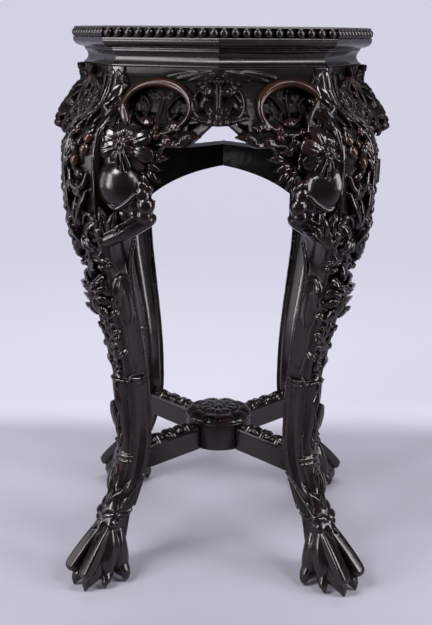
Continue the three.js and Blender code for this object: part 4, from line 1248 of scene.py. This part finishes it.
def flank_surface(side):
    """From flat working space to a flank of the leg below the knee: x runs back from the front edge."""
    def place(points):
        back, out, z = points.T
        return np.column_stack([side * (leg_half(z) + out), leg_front(z) - back, z])
    return place


KNEE_BERRIES = [(-18, 677, 6.8), (-13, 661, 7.0), (6, 645, 7.6), (18, 668, 4.6), (-1, 670, 4.6), (10, 684, 4.0)]


def knee_foliage():
    """Stems, berries and hanging loops on the broad front of the knee."""
    main = [(-2, 3, 735), (8, 6, 700), (22, 7, 672), (27, 7, 642), (28, 6, 612), (24, 5, 585), (16, 4, 560),
            (14, 3, 520)]
    forms = stems(
        (main, [3, 3.2, 3.6, 3.6, 3.4, 3.2, 3.4, 3.0]),
        ([(4, 3, 738), (-8, 6, 718), (-22, 7, 704), (-29, 4, 684), (-30, 2, 664)], [2.6, 3, 2.8, 2.2, 1.6]),
        ([(-27, 1, 648), (-29.5, 1, 600), (-26, 1, 552)], [1.4, 1.8, 1.4]),
    ) + berries(KNEE_BERRIES, 5, tall=1.22) + stems(
        ([(21, 4, 630), (14, 7, 615), (0, 8, 607), (-13, 7, 613), (-18, 4, 628)], [3, 4.4, 5, 4, 2.6]),
        ([(18, 4, 612), (8, 6, 600), (-6, 6, 598), (-18, 4, 606)], [2.2, 2.8, 2.8, 2.0]),
        ([(2, 2, 556), (-8, 5, 570), (-20, 6, 574), (-28, 4, 564), (-24, 3, 552)], [2.4, 3, 3.2, 3, 2.2]),
    )
    pick = np.random.default_rng(sizes().scatter_seed + 3)
    for z in np.linspace(700, 500, 16):
        off_edge, turn, curl = draws(pick, (-3, 6), (50, 130), (-50, 50))
        edge = float(front_half(z)) + off_edge
        forms.append(leaf(edge, z, turn, 24, 11, lift=4, root=2, tip=3, arch=4.5, curl=curl, twist=1.5,
                          steps=12, across=6))
        if pick.uniform() < 0.5:
            forms.append(ball(edge, z - 5, pick.uniform(3.8, 6.4), 4, 0, 10, 8))
    return forms + scattered_leaves(sizes().scatter_seed + 5, (-28, 490, 28, 548), 26, 17, 8, 0.5, 80)


def knee_leaves():
    """Folded leaves at the top of the knee, pointed ones lower down, and a thicket along the outer edge."""
    folded = (
        (-26, 716, 104, 46, -10), (-18, 712, 97, 50, 8), (-10, 714, 92, 50, -8), (-2, 710, 88, 54, 8),
        (6, 714, 84, 50, -6), (14, 712, 80, 50, 8), (22, 714, 76, 46, 10), (30, 716, 70, 40, 8),
        (-22, 694, 120, 38, -20), (24, 694, 60, 38, 20), (0, 690, 95, 40, 10), (12, 690, 75, 36, 20),
        (-12, 690, 110, 36, -20),
    )
    forms = crisp_leaves([(*row, 11, curl) for *row, curl in folded], 3, 1, twist=2.6) + crisp_leaves([
        (15, 556, 77, 64, 12, 6), (15, 556, 124, 60, 12, -6), (14, 554, 100, 44, 9, 4),
        (-6, 538, 120, 36, 13, 30), (10, 526, 60, 34, 12, -30), (-12, 590, 60, 34, 11, 20),
    ], 4, 5, arch=5)
    pick = np.random.default_rng(sizes().scatter_seed + 4)
    for _ in range(KNEE_LEAVES):
        z = pick.uniform(496, 716)
        x = float(front_half(z)) + pick.uniform(-10, 13) if pick.uniform() < 0.7 else pick.uniform(-26, 20)
        *row, tip, curl, twist = draws(pick, (20, 160), (18, 30), (8, 12), (2, 6), (-50, 50), (-2, 2))
        forms.append(crisp_leaf(x, z, *row, 2, tip, curl=curl, twist=twist))
    return forms


def shin_foliage():
    """The sprig on the front of the leg below the knee, and the low twig under it."""
    forms = [
        ball(0, 462, (22, 12, 22), 0, 0, 16, 12),
        *berries([(0, 463, 6), (-7, 457, 5), (7, 458, 5), (-5, 471, 4.5), (6, 470, 4.5)], 14),
        stem([(0, 2, 520), (5, 3, 500), (-2, 4, 480)], [2.6, 3, 3]),
        stem([(4, 2, 448), (8, 2, 420), (-2, 1.5, 392), (4, 1.5, 362), (0, 1.5, 330)], [3, 2.4, 2.4, 2.2, 2.2]),
    ]
    for k, z in enumerate(np.linspace(428, 334, 11)):
        side = 1 if k % 2 else -1
        forms.append(leaf(side * 2, z, 90 + side * 48, 18, 8, lift=2.4, arch=2.2, curl=side * -30,
                          steps=12, across=6))
    for side in (-1, 1):
        edge = [(side * (float(front_half(z)) - 1), 0.4, z) for z in (446, 410, 380, 350, 322)]
        forms.append(stem(edge, 2.2, 8))
    return forms + scattered_leaves(sizes().scatter_seed + 8, (-12, 322, 12, 436), 34, 16, 7.5, 1.0, 75)


def shin_leaves():
    """The crisp leaves of the sprig, and those that climb the shin and the culm."""
    forms = crisp_leaves([
        (4, 466, 50, 28, 15, 24), (-4, 466, 122, 22, 12, -24), (6, 460, 12, 28, 15, -20), (-4, 460, 160, 17, 10, 20),
        (4, 454, -36, 30, 15, 20), (-4, 454, 222, 20, 11, -20), (0, 452, -84, 36, 14, 14), (0, 476, 92, 30, 14, 6),
        (14, 440, -70, 26, 11, -20), (-8, 438, 256, 24, 10, 14),
    ], 11, 4, arch=5, shape=(0.7, 0.55), teeth=3)
    pick = np.random.default_rng(sizes().scatter_seed + 9)
    for _ in range(SHIN_LEAVES):
        *row, tip, curl = draws(pick, (-11, 11), (322, 436), (40, 140), (18, 30), (7, 10), (0, 3), (-50, 50))
        forms.append(crisp_leaf(*row, 1, tip, curl=curl, twist=1.6, arch=2.5))
    return forms + crisp_leaves([
        (-2, 298, 70, 24, 10, 30), (6, 296, 110, 26, 10, -30), (2, 300, 262, 40, 9, 8), (10, 282, 276, 46, 8, -8),
        (6, 262, 268, 44, 7, 8), (9, 232, 96, 34, 8, 16), (3, 222, 82, 30, 8, -14), (3, 206, 96, 26, 7, 10),
        (2, 184, 266, 40, 8, 8), (8, 174, 272, 40, 7, -10), (0, 152, 266, 36, 7, 6), (6, 146, 262, 34, 7, 8),
    ], 10, 8.5, arch=1.5, twist=1.2)


def culm_forms():
    """The bamboo culm laid down the front of the lower leg, with its joints, leaves and ribbons."""
    forms = []
    for top, foot in ((314, 194), (186, 102)):
        line = [(2 + 1.5 * math.sin(z * 0.05), 0.5, z) for z in np.linspace(top, foot, 7)]
        forms.append(stem(line, [13.5 * k for k in (1.06, 1.0, 0.96, 0.95, 0.97, 1.02, 1.1)], 18, flat=0.72))
    for z, r in ((194, 3.2), (186, 2.6), (316, 3.0)):
        joint = [(-19, -3, z - 1), (-10, 7, z + 1), (0, 10, z + 2), (10, 7, z + 1), (19, -3, z - 1)]
        forms.append(stem(joint, r, 10))
    return forms + [
        *berries([(8, 306, 4.0), (11, 214, 4.0), (12, 180, 4.0)], 6.5, detail=(10, 8)),
        stem([(-22, 0, 158), (-14, 5, 146), (0, 10, 128), (12, 8, 112), (21, 2, 98)], [2.2, 2.6, 2.8, 2.6, 2.2]),
        stem([(22, 2, 136), (12, 8, 122), (0, 11, 110), (-12, 8, 98), (-22, 2, 90)], [3.2, 3.4, 3.6, 3.4, 3.0],
             flat=0.7),
        stem([(20, 2, 104), (8, 9, 98), (-4, 10, 100), (-16, 6, 108)], [2.6, 3.0, 3.0, 2.6]),
        ball(2, 105, (8, 8, 7), 7),
        *(leaf(2, 104, angle, length, 9, lift=3.4, root=10, tip=5, arch=4, curl=20, thick=8)
          for angle, length in ((30, 20), (150, 20), (250, 24), (290, 24))),
    ]


def flank_depth(level):
    """How deep the leg's flank is at a level, from front to back."""
    return float(leg_front(level) - along(LEG_INNER, level))


def flank_carving():
    """Bead lines, the hip with its broad leaf, and the joint of the stem, in the flat space of a flank."""
    beads = [([(flank_depth(z) - inset, -0.4, z) for z in np.linspace(532, 112, 32)], radius, 8, 3)
             for inset, radius in ((2.5, 1.8), (7.5, 1.5))]
    return stems(
        *beads,
        ([(12, -0.5, 534), (11, -0.2, 510), (14, 0, 492)], [2.0, 2.2, 1.8], 8),
        ([(0, 2, 456), (5, 2.4, 470), (15, 2.4, 480), (26, 2.0, 478), (34, 1.0, 468)], [2.2, 2.8, 3.0, 2.6, 1.8]),
        ([(4, 1, 440), (8, 1.6, 458), (17, 1.6, 466), (26, 1.2, 462)], [1.4, 1.8, 1.8, 1.2], 8),
    ) + [
        ball(19, 440, (15, 7.5, 36), -1.5, 0.06, 24, 16),
        leaf(5, 444, 80, 36, 13, lift=2.8, root=3, tip=2.6, arch=1.6, curl=-34, groove=0.6, thick=6, twist=1),
        leaf(3, 430, 84, 30, 9, lift=2.4, root=2, tip=2.6, arch=1.6, curl=-20, groove=0.6, thick=6),
    ] + stems(
        ([(38, -0.5, 162), (24, 0.4, 146), (10, 0.8, 128), (-2, 2, 112)], [2.0, 2.4, 2.6, 2.4], 8),
        ([(38, -0.5, 152), (22, 0.2, 138), (8, 0.6, 120), (-2, 1, 100)], [1.4, 1.6, 1.8, 1.6], 8),
        ([(30, -0.2, 106), (18, 0.8, 104), (4, 1.0, 108)], [1.8, 2.4, 2.2], 8),
        ([(6, 0.5, 320), (14, 1.0, 318), (23, 0.8, 318), (31, -1.2, 319)], [3.6, 4.6, 4.6, 3.0], 12),
        ([(6, 0.2, 312), (15, 0.6, 310), (24, 0.4, 310), (31, -1.2, 311)], [1.8, 2.4, 2.4, 1.6], 8),
        ([(4, 0.5, 428), (9, 0.8, 400), (8, 0.8, 360), (11, 0.6, 330)], [1.6, 1.6, 1.5, 1.6], 8),
    )


def handed(side, *points):
    """Points of the foot's right half, or of its left half if side is -1."""
    return [(side * x, y, z) for x, y, z in points]


def foot_forms():
    """The paw: two long boxy toes with blunt ends and short nails in front, and two claws on each side."""
    forms = []
    for side in (-1, 1):
        toe = handed(side, (7.5, 226, 98), (10, 245, 80), (13, 264, 60), (16, 280, 42), (17.5, 288, 33))
        nail = handed(side, (12, 266, 26), (13, 277, 20), (13.5, 285, 11), (13.5, 288, 3))
        forms += [
            stem(toe, [6.5, 8.6, 10, 10.4, 9.8], 24, flat=0.9, square=0.45),
            stem(handed(side, (6, 236, 66), (9, 256, 46), (11, 270, 30)), [10, 12, 12], 16),
            stem(nail, [12, 10.5, 6.8, 2.4], 16, square=0.7),
            ball(side * 14, 50, (15, 22, 34), 236, side * 0.08, 24, 16),
        ]
        forms += [
            stem(handed(side, (9, 236, 94), (14, 241, 66), (17, 248, 38), (19, 250, 20)), [6, 13, 15, 10], 20),
            stem(handed(side, (11, 222, 92), (15, 225, 62), (18, 226, 34), (20, 226, 18)), [6, 13, 15, 11], 20),
        ]
        for back, tip, size in (((20, 254, 26), (27, 262, 2), 8.0), ((22, 226, 30), (31, 226, 2), 10.5)):
            start, end = np.array(back, float), np.array(tip, float)
            claw = handed(side, start, start * 0.5 + end * 0.5 + (3, 0, 1), end + (1.5, 0, 8), end)
            forms.append(stem(claw, [size, size * 0.9, size * 0.62, size * 0.25], 14, square=0.8))
    return forms


def leg_model():
    """One leg in its corner's frame: body and carving, fused, with the crisp leaves laid over them."""
    blank = Blank()
    blank.add([leg_body()])
    blank.add(knee_foliage() + shin_foliage() + culm_forms(), front_surface)
    for side in (-1, 1):
        blank.add(flank_carving(), flank_surface(side))
    blank.add(foot_forms())
    model = fuse(blank.build("leg"), sizes().leg_grain)
    points = vertices_mm(model)
    points[:, 1] -= leg_front(points[:, 2])
    mark_warm(model, points, KNEE_BERRIES)
    crisp = Blank()
    crisp.add(knee_leaves() + shin_leaves(), front_surface)
    joined(model, crisp)
    cut_with_planes(model, [TOP_CUT, FLOOR_CUT])
    finish_carving(model, "z", sizes().leg_triangles)
    # Recesses more than 4 mm behind the knee's front are dulled and darkened, painted shade in the recesses.
    mark_dull_and_painted_shade(model, lambda x, y, z: np.clip((leg_front(z) - 4 - y) / 4, 0, 1) * (z > SPANDREL_FOOT))
    return model


class STAND_OT_legs(bpy.types.Operator):
    """Carves the four cabriole legs"""

    bl_idname = "stand.legs"
    bl_label = "Legs"

    def execute(self, context):
        place_all(leg_model(), CORNERS, "carved_leg", "leg", "leg")
        return {"FINISHED"}


# Moulded top


def settled(name):
    """The primitive that was just added, named, with its place taken into its mesh."""
    bpy.context.object.name = name
    bpy.ops.object.transform_apply(location=True, rotation=True, scale=True)
    return bpy.context.object


def octagon_moulding(name, profile):
    """An octagonal ring of one closed profile of (corner radius, level), drawn round and extruded step by step."""
    radius, level = profile[0]
    bpy.ops.object.select_all(action="DESELECT")
    bpy.ops.mesh.primitive_circle_add(vertices=SIDES, radius=radius * MM, location=(0, 0, level * MM))
    ring = settled(name)
    bpy.ops.object.mode_set(mode="EDIT")
    bpy.ops.mesh.select_all(action="SELECT")
    for next_radius, next_level in [*profile[1:], profile[0]]:
        grow = next_radius / radius
        bpy.ops.mesh.extrude_region_move(TRANSFORM_OT_translate={"value": (0, 0, (next_level - level) * MM)})
        bpy.ops.transform.resize(value=(grow, grow, 1), center_override=(0, 0, 0))
        radius, level = next_radius, next_level
    outward(ring, 0.00002)
    corner_to_x(ring)
    return ring


def side_of(ring):
    """The part of an octagonal ring that belongs to the side facing +Y, with its two mitres."""
    ring.data.transform(Matrix.Rotation(HALF_TURN, 4, "Z"))
    cut_with_planes(ring, MITRES)
    return ring


def rail_profile():
    """Section of a rail: rounded rim, seat of the beads, fillet and ovolo."""
    bead_top = TOP - BEAD_DROP
    bead_foot = bead_top - sizes().bead_height / MM
    seat = RIM - BEAD_SEAT
    foot = WAIST + 1.6
    rows = [(FRAME_INNER, RAIL_FOOT), (FRAME_INNER, TOP - 0.6), (FRAME_INNER + 0.8, TOP)]
    for turn in np.linspace(0, math.pi / 2, 7):
        rows.append((RIM - 9 + 6 * math.sin(turn), TOP - RIM_ROUNDING * (1 - math.cos(turn))))
    rows += [(RIM - 2.4, bead_top + 0.6), (RIM - 2.6, bead_top), (seat, bead_top - 0.1), (seat, bead_foot + 0.1)]
    rows += [(RIM - 1.4, bead_foot), (RIM - 1, bead_foot - 0.6)]
    rows += [(RIM - 1, bead_foot - 2.6), (RIM - 1.4, bead_foot - 3.2)]
    top, drop = bead_foot - 3.4, bead_foot - 3.4 - (RAIL_FOOT + 1.4)
    for turn in np.linspace(0.05, math.pi / 2, 10):
        rows.append((foot + (RIM - 1.2 - foot) * math.cos(turn), top - drop * math.sin(turn)))
    rows += [(foot, RAIL_FOOT + 0.4), (foot - 0.4, RAIL_FOOT)]
    return rows


def rim_beads():
    """Upright oval beads side by side along one side of the rim."""
    count, height = sizes().beads, sizes().bead_height / MM
    length = 2 * (RIM - 1.5) * SIN
    pitch = length / count
    radii = (pitch * 0.4, 4.2 + sizes().bead_proud / MM, height * 0.52)
    level = TOP - BEAD_DROP - height / 2
    return [ball(-length / 2 + pitch * (k + 0.5), level, radii, (RIM - 3.9) * COS, 0, 20, 12) for k in range(count)]


class STAND_OT_top_frame(bpy.types.Operator):
    """Moulds the eight mitred rails with their beaded rim"""

    bl_idname = "stand.top_frame"
    bl_label = "Top frame"

    def execute(self, context):
        rail = side_of(octagon_moulding("rail", rail_profile()))
        beads = Blank()
        beads.add(rim_beads())
        joined(rail, beads)
        finish_moulding(rail)
        # The seat between the beads is left dull and its colour darker, painted shade between the beads
        groove = (RIM - 2.6) * COS
        mark_dull_and_painted_shade(rail, lambda x, y, z: np.clip((groove - y) / 1.5, 0, 1) * (y > 190) * (abs(z - TOP + 9) < 6.2))
        place_all(rail, SIDE_PLACES, "moulded_rail", "top_rail", "moulded")
        return {"FINISHED"}


def waist_profile():
    """Section of a waist piece: a hollow that runs out to its lip."""
    top, throat = RAIL_FOOT - GAP, WAIST - 4.4
    rows = [(WAIST - 15, WAIST_FOOT), (WAIST - 15, top), (WAIST - 0.4, top), (WAIST, top - 0.4), (WAIST, top - 2)]
    for share in np.linspace(0, 1, 15):
        edge = WAIST + (WAIST_LIP - WAIST) * share
        rows.append((edge - 0.4 - (edge - throat) * math.sin(math.pi * share) ** 0.8,
                     top - 2.2 + (WAIST_FOOT + 1.8 - top + 2.2) * share))
    rows += [(WAIST_LIP, WAIST_FOOT + 1.6), (WAIST_LIP, WAIST_FOOT + 0.4), (WAIST_LIP - 0.4, WAIST_FOOT)]
    return rows


class STAND_OT_waist(bpy.types.Operator):
    """Moulds the hollow waist between frame and aprons"""

    bl_idname = "stand.waist"
    bl_label = "Waist"

    def execute(self, context):
        waist = side_of(octagon_moulding("waist", waist_profile()))
        finish_moulding(waist)
        place_all(waist, SIDE_PLACES, "moulded_waist", "waist", "moulded")
        return {"FINISHED"}


class STAND_OT_panel(bpy.types.Operator):
    """Lays the polished panel in the frame and finishes the batten below it"""

    bl_idname = "stand.panel"
    bl_label = "Panel"

    def execute(self, context):
        low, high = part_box("top_panel")
        radius = (FRAME_INNER - GAP / COS) * MM
        bpy.ops.object.select_all(action="DESELECT")
        bpy.ops.mesh.primitive_circle_add(vertices=SIDES, radius=radius, fill_type="NGON", location=(0, 0, low.z))
        panel = settled("polished_panel")
        corner_to_x(panel)
        bpy.ops.object.mode_set(mode="EDIT")
        bpy.ops.mesh.select_all(action="SELECT")
        bpy.ops.mesh.extrude_region_move(TRANSFORM_OT_translate={"value": (0, 0, high.z - low.z)})
        bpy.ops.mesh.bevel(offset=0.0012, segments=3, affect="EDGES")
        outward(panel)
        finish_moulding(panel, "y")
        dress(panel, ["top_panel"], finish_of("moulded"))
        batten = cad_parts["panel_batten"]
        batten.data.materials.clear()
        batten.data.materials.append(finish_of("inner"))
        return {"FINISHED"}


# Stretcher


def arm_forms():
    """One arm in its leg's frame: a flat bar with a bamboo crest and its joints."""
    half = 13.5
    section = [(-half, ARM_FOOT), (half, ARM_FOOT), (half, ARM_TOP - 4), (half - 2.5, ARM_TOP),
               (2.5 - half, ARM_TOP), (-half, ARM_TOP - 4)]
    points = [(x, ARM_START, z) for x, z in section]
    points += [(x, ARM_END + 9.0 * (ARM_TOP - z) / ARM_HEIGHT, z) for x, z in section]
    faces = [tuple(range(6)), tuple(reversed(range(6, 12)))]
    faces += [(i, i + 6, (i + 1) % 6 + 6, (i + 1) % 6) for i in range(6)]
    crest = [(0, y, ARM_TOP - 3 + 1.2 * math.sin(y * 0.3)) for y in np.linspace(ARM_START + 2, ARM_END - 1, 14)]
    forms = [(np.array(points, float), faces), stem(crest, 9.5, 14)]
    for joint in (74, 104, 136):
        for y, radii in ((joint, [2.4, 2.8, 2.4]), (joint + 5, [2.0, 2.4, 2.0])):
            forms.append(stem([(-10, y, ARM_TOP - 1), (0, y + 1, ARM_TOP + 7), (10, y, ARM_TOP - 1)], radii, 10))
    return forms


def crest_surface(points):
    """From a flat working space (x along the arm, out, z across it) to the top of an arm."""
    x, out, z = points.T
    return np.column_stack([z, x, ARM_TOP + 4 + out - np.abs(z) * 0.35])


def arm_leaves():
    """Small leaves and buds on an arm's crest."""
    rows = ((150, 0, 160, 22), (150, 2, 200, 22), (158, -4, 150, 20), (158, 5, 205, 20), (146, 0, 180, 24),
            (80, 0, 20, 20), (80, 0, -20, 20), (122, 3, 165, 18), (120, -3, 195, 18))
    buds = [(x, z, 3.0) for x, z in ((150, 4), (144, -5), (156, 0), (84, 5), (88, -5), (116, 0))]
    return [
        *(leaf(*row, 8, lift=2.6, root=0.5, tip=0.5, arch=3, curl=10, steps=12, across=6) for row in rows),
        *berries(buds, 2, detail=(8, 6)),
    ]


def arm_model():
    """One arm, fused and cut off where it meets the drum."""
    blank = Blank()
    blank.add(arm_forms())
    blank.add(arm_leaves(), crest_surface)
    model = fuse(blank.build("arm"), sizes().arm_grain)
    cut_with_planes(model, [((0, ARM_START + 2 * GAP, 0), (0, -1, 0))])
    finish_carving(model, "y")
    return model


class STAND_OT_stretcher(bpy.types.Operator):
    """Makes the four stretcher arms with their carved crests"""

    bl_idname = "stand.stretcher"
    bl_label = "Stretcher"

    def execute(self, context):
        places = {corner: (azimuth, 1) for corner, (azimuth, _) in CORNERS.items()}
        place_all(arm_model(), places, "carved_arm", "stretcher_arm", "leg")
        return {"FINISHED"}


def drum():
    """The turned drum with its edges rounded over."""
    low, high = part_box("stretcher_hub")
    radius = (high.x - low.x) / 2 - 0.0008
    height = (DRUM_TOP - ARM_FOOT) * MM
    bpy.ops.object.select_all(action="DESELECT")
    bpy.ops.mesh.primitive_cylinder_add(
        vertices=96, radius=radius, depth=height, location=(0, 0, ARM_FOOT * MM + height / 2)
    )
    hub = settled("turned_drum")
    bpy.ops.object.mode_set(mode="EDIT")
    bpy.ops.mesh.select_mode(type="FACE")
    bpy.ops.mesh.select_all(action="DESELECT")
    bm = bmesh.from_edit_mesh(hub.data)
    for face in bm.faces:
        face.select = len(face.verts) > 4
    bmesh.update_edit_mesh(hub.data)
    bpy.ops.mesh.bevel(offset=0.0016, segments=3, affect="EDGES")
    bpy.ops.object.mode_set(mode="OBJECT")
    return hub


def rosette_cap():
    """Domed cap: a scalloped rim, ten petals round ten more, and a button in the middle."""
    foot = DRUM_TOP + GAP
    rise = ROSETTE_TOP - foot
    rings, around = 70, 360
    turn = np.linspace(0, 2 * math.pi, around, endpoint=False)
    rows = []
    for share in np.linspace(1, 0.0, rings):
        scallop = 1 + 0.03 * np.abs(np.cos(5 * turn)) * share ** 6 - 0.02
        r = ROSETTE_RADIUS * share * scallop
        dome = 6 + (rise - 6) * (1 - share ** 2)
        edge = min(1.0, (1 - share) / 0.05)
        outer = np.abs(np.cos(5 * turn)) ** 0.6 * np.exp(-((share - 0.78) / 0.2) ** 2) * 3.4
        vein = 0.5 * np.cos(60 * turn) * np.exp(-((share - 0.8) / 0.16) ** 2)
        inner = np.abs(np.sin(5 * turn)) ** 0.6 * np.exp(-((share - 0.42) / 0.16) ** 2) * 3.2
        button = 3.0 * math.exp(-((share / 0.13) ** 2))
        button = button + 1.2 * np.cos(8 * turn) * math.exp(-((share - 0.2) / 0.05) ** 2)
        groove = -2.4 * math.exp(-((share - 0.6) / 0.03) ** 2) - 1.6 * math.exp(-((share - 0.95) / 0.015) ** 2)
        relief = (outer + vein + inner + button + groove - 1.4) * edge
        z = foot + dome * (0.5 + 0.5 * math.sqrt(edge)) + relief
        rows.append(np.column_stack([r * np.cos(turn), r * np.sin(turn), z]))
    low = rows[0].copy()
    low[:, 2] = foot
    rows.insert(0, low)
    faces = grid_faces(rings + 1, around, closed=True)
    faces.append(tuple(reversed(range(around))))
    cap = new_piece("carved_rosette", np.vstack(rows), faces)
    outward(cap)
    return cap


class STAND_OT_hub(bpy.types.Operator):
    """Turns the drum where the arms meet and carves its rosette"""

    bl_idname = "stand.hub"
    bl_label = "Hub"

    def execute(self, context):
        hub = drum()
        finish_moulding(hub, "z", 40)
        dress(hub, ["stretcher_hub"], finish_of("moulded"))
        cap = rosette_cap()
        finish_carving(cap, "z", depth=0.5)
        dress(cap, ["hub_rosette"], finish_of("carved"))
        return {"FINISHED"}


# Studio


# Soft lamps as (place, target, size, share of the lamps' power)
LAMPS = {
    "key_left": ((-1.2, -1.4, 2.3), (0, 0, 0.5), (0.75, 0.75), 1.35),
    "key_right": ((1.4, -1.3, 2.2), (0, 0, 0.5), (0.7, 0.7), 0.95),
    "strip_left": ((-1.78, -1.3, 1.0), (0, 0, 0.5), (0.5, 1.6), 1.2),
    "panel_left": ((-2.3, -0.25, 0.9), (0, 0, 0.5), (1.0, 1.6), 0.4),
    "strip_right": ((1.9, -0.8, 1.0), (0, 0, 0.5), (0.6, 1.6), 1.1),
    "overhead": ((0, 0.9, 2.7), (0, 0.3, 0), (1.8, 1.4), 1.3),
}
# The camera's turn in degrees: to the left, up from straight down, and about its own axis
CAMERA_PAN = 1.31
CAMERA_TILT = 90 - 16.01
CAMERA_ROLL = 0.49


def area_lamp(name, place, target, size, power):
    lamp = bpy.data.lights.new(name, "AREA")
    lamp.shape = "RECTANGLE"
    lamp.size, lamp.size_y = size
    lamp.energy = power
    piece = bpy.data.objects.new(name, lamp)
    bpy.context.scene.collection.objects.link(piece)
    piece.location = place
    piece.rotation_euler = (Vector(target) - Vector(place)).to_track_quat("-Z", "Y").to_euler()


def studio_camera(studio):
    data = bpy.data.cameras.new("camera")
    data.lens = studio.lens
    data.sensor_width = 36
    camera = bpy.data.objects.new("camera", data)
    bpy.context.scene.collection.objects.link(camera)
    pan, tilt, roll = (math.radians(turn) for turn in (CAMERA_PAN, CAMERA_TILT, CAMERA_ROLL))
    camera.matrix_world = (
        Matrix.Translation(studio.camera_place) @ Matrix.Rotation(pan, 4, "Z")
        @ Matrix.Rotation(tilt, 4, "X") @ Matrix.Rotation(roll, 4, "Z")
    )
    bpy.context.scene.camera = camera


def studio_floor(studio):
    """A floor that sweeps up into the backdrop in one piece."""
    depth, width, height, bend, steps = 2.2, 7.0, 4.0, 1.2, 16
    line = [(-4.5, 0.0)]
    line += [(depth + bend * math.sin(a), bend * (1 - math.cos(a))) for a in np.linspace(0, math.pi / 2, steps)]
    line += [(depth + bend, height)]
    points = [(x / MM, y / MM, z / MM) for y, z in line for x in (-width, width)]
    faces = [(2 * i, 2 * i + 1, 2 * i + 3, 2 * i + 2) for i in range(len(line) - 1)]
    floor = new_piece("floor", points, faces)
    smooth_shade(floor, 60)
    s = Shader("paper_backdrop")
    place = s.node("ShaderNodeTexCoord", {}, {})["Object"]
    place_y = s.node("ShaderNodeSeparateXYZ", {}, {"Vector": place})["Y"]
    back = place_y.between(0.38, 0.6)
    tone = s.noise(place, 1.2, 2.0).between(0.3, 0.7) * 0.2
    paper = s.mix_colours((back + tone).clamped(), tuple(studio.floor), tuple(studio.backdrop))
    # The floor is painted dark towards the camera, painted shade for the dim studio in front of the stand, which the
    # wood mirrors.
    paper = s.mix_colours(place_y.between(-1.2, -0.1), tuple(0.12 * c for c in studio.floor), paper)
    sheet = s.principled({"Base Color": paper, "Roughness": 0.8})
    seen = s.node("ShaderNodeLightPath", {}, {})["Is Camera Ray"] * back * 0.75
    haze = s.node("ShaderNodeEmission", {}, {"Color": studio.haze, "Strength": 1.0})["Emission"]
    floor.data.materials.append(s.finish(s.mix_shaders(seen, sheet, haze)))


class STAND_OT_stage(bpy.types.Operator):
    """Sets up camera, floor, backdrop and soft lamps"""

    bl_idname = "stand.stage"
    bl_label = "Studio"

    def execute(self, context):
        scene = context.scene
        studio = scene.stand_studio
        studio_camera(studio)
        studio_floor(studio)
        for name, (place, target, size, share) in LAMPS.items():
            area_lamp(name, place, target, size, share * studio.lamp_power)
        world = bpy.data.worlds.new("studio_air")
        world.use_nodes = True
        air = world.node_tree.nodes["Background"].inputs
        air["Color"].default_value = (0.80, 0.80, 0.90, 1)
        air["Strength"].default_value = 0.12
        scene.world = world
        scene.view_settings.view_transform = "Standard"
        return {"FINISHED"}


class STAND_PT_panel(bpy.types.Panel):
    """The stand's settings and operators in the sidebar"""

    bl_label = "Carved stand"
    bl_idname = "STAND_PT_panel"
    bl_space_type = "VIEW_3D"
    bl_region_type = "UI"
    bl_category = "Stand"

    def draw(self, context):
        scene = context.scene
        for group in (scene.stand_sizes, scene.stand_finish, scene.stand_studio):
            box = self.layout.box()
            for key in group.bl_rna.properties.keys():
                if key not in ("rna_type", "name"):
                    box.prop(group, key)
        for operator in OPERATORS:
            self.layout.operator(operator.bl_idname)


OPERATORS = (
    STAND_OT_stage,
    STAND_OT_top_frame,
    STAND_OT_waist,
    STAND_OT_panel,
    STAND_OT_aprons,
    STAND_OT_legs,
    STAND_OT_stretcher,
    STAND_OT_hub,
)
CLASSES = (StandSizes, FinishColours, StudioSettings, *OPERATORS, STAND_PT_panel)


def register():
    for cls in CLASSES:
        bpy.utils.register_class(cls)
    bpy.types.Scene.stand_sizes = bpy.props.PointerProperty(type=StandSizes)
    bpy.types.Scene.stand_finish = bpy.props.PointerProperty(type=FinishColours)
    bpy.types.Scene.stand_studio = bpy.props.PointerProperty(type=StudioSettings)


def unregister():
    del bpy.types.Scene.stand_studio
    del bpy.types.Scene.stand_finish
    del bpy.types.Scene.stand_sizes
    for cls in reversed(CLASSES):
        bpy.utils.unregister_class(cls)


def main():
    register()
    for operator in OPERATORS:
        group, name = operator.bl_idname.split(".")
        getattr(getattr(bpy.ops, group), name)()
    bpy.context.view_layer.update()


if __name__ == "__main__":
    main()
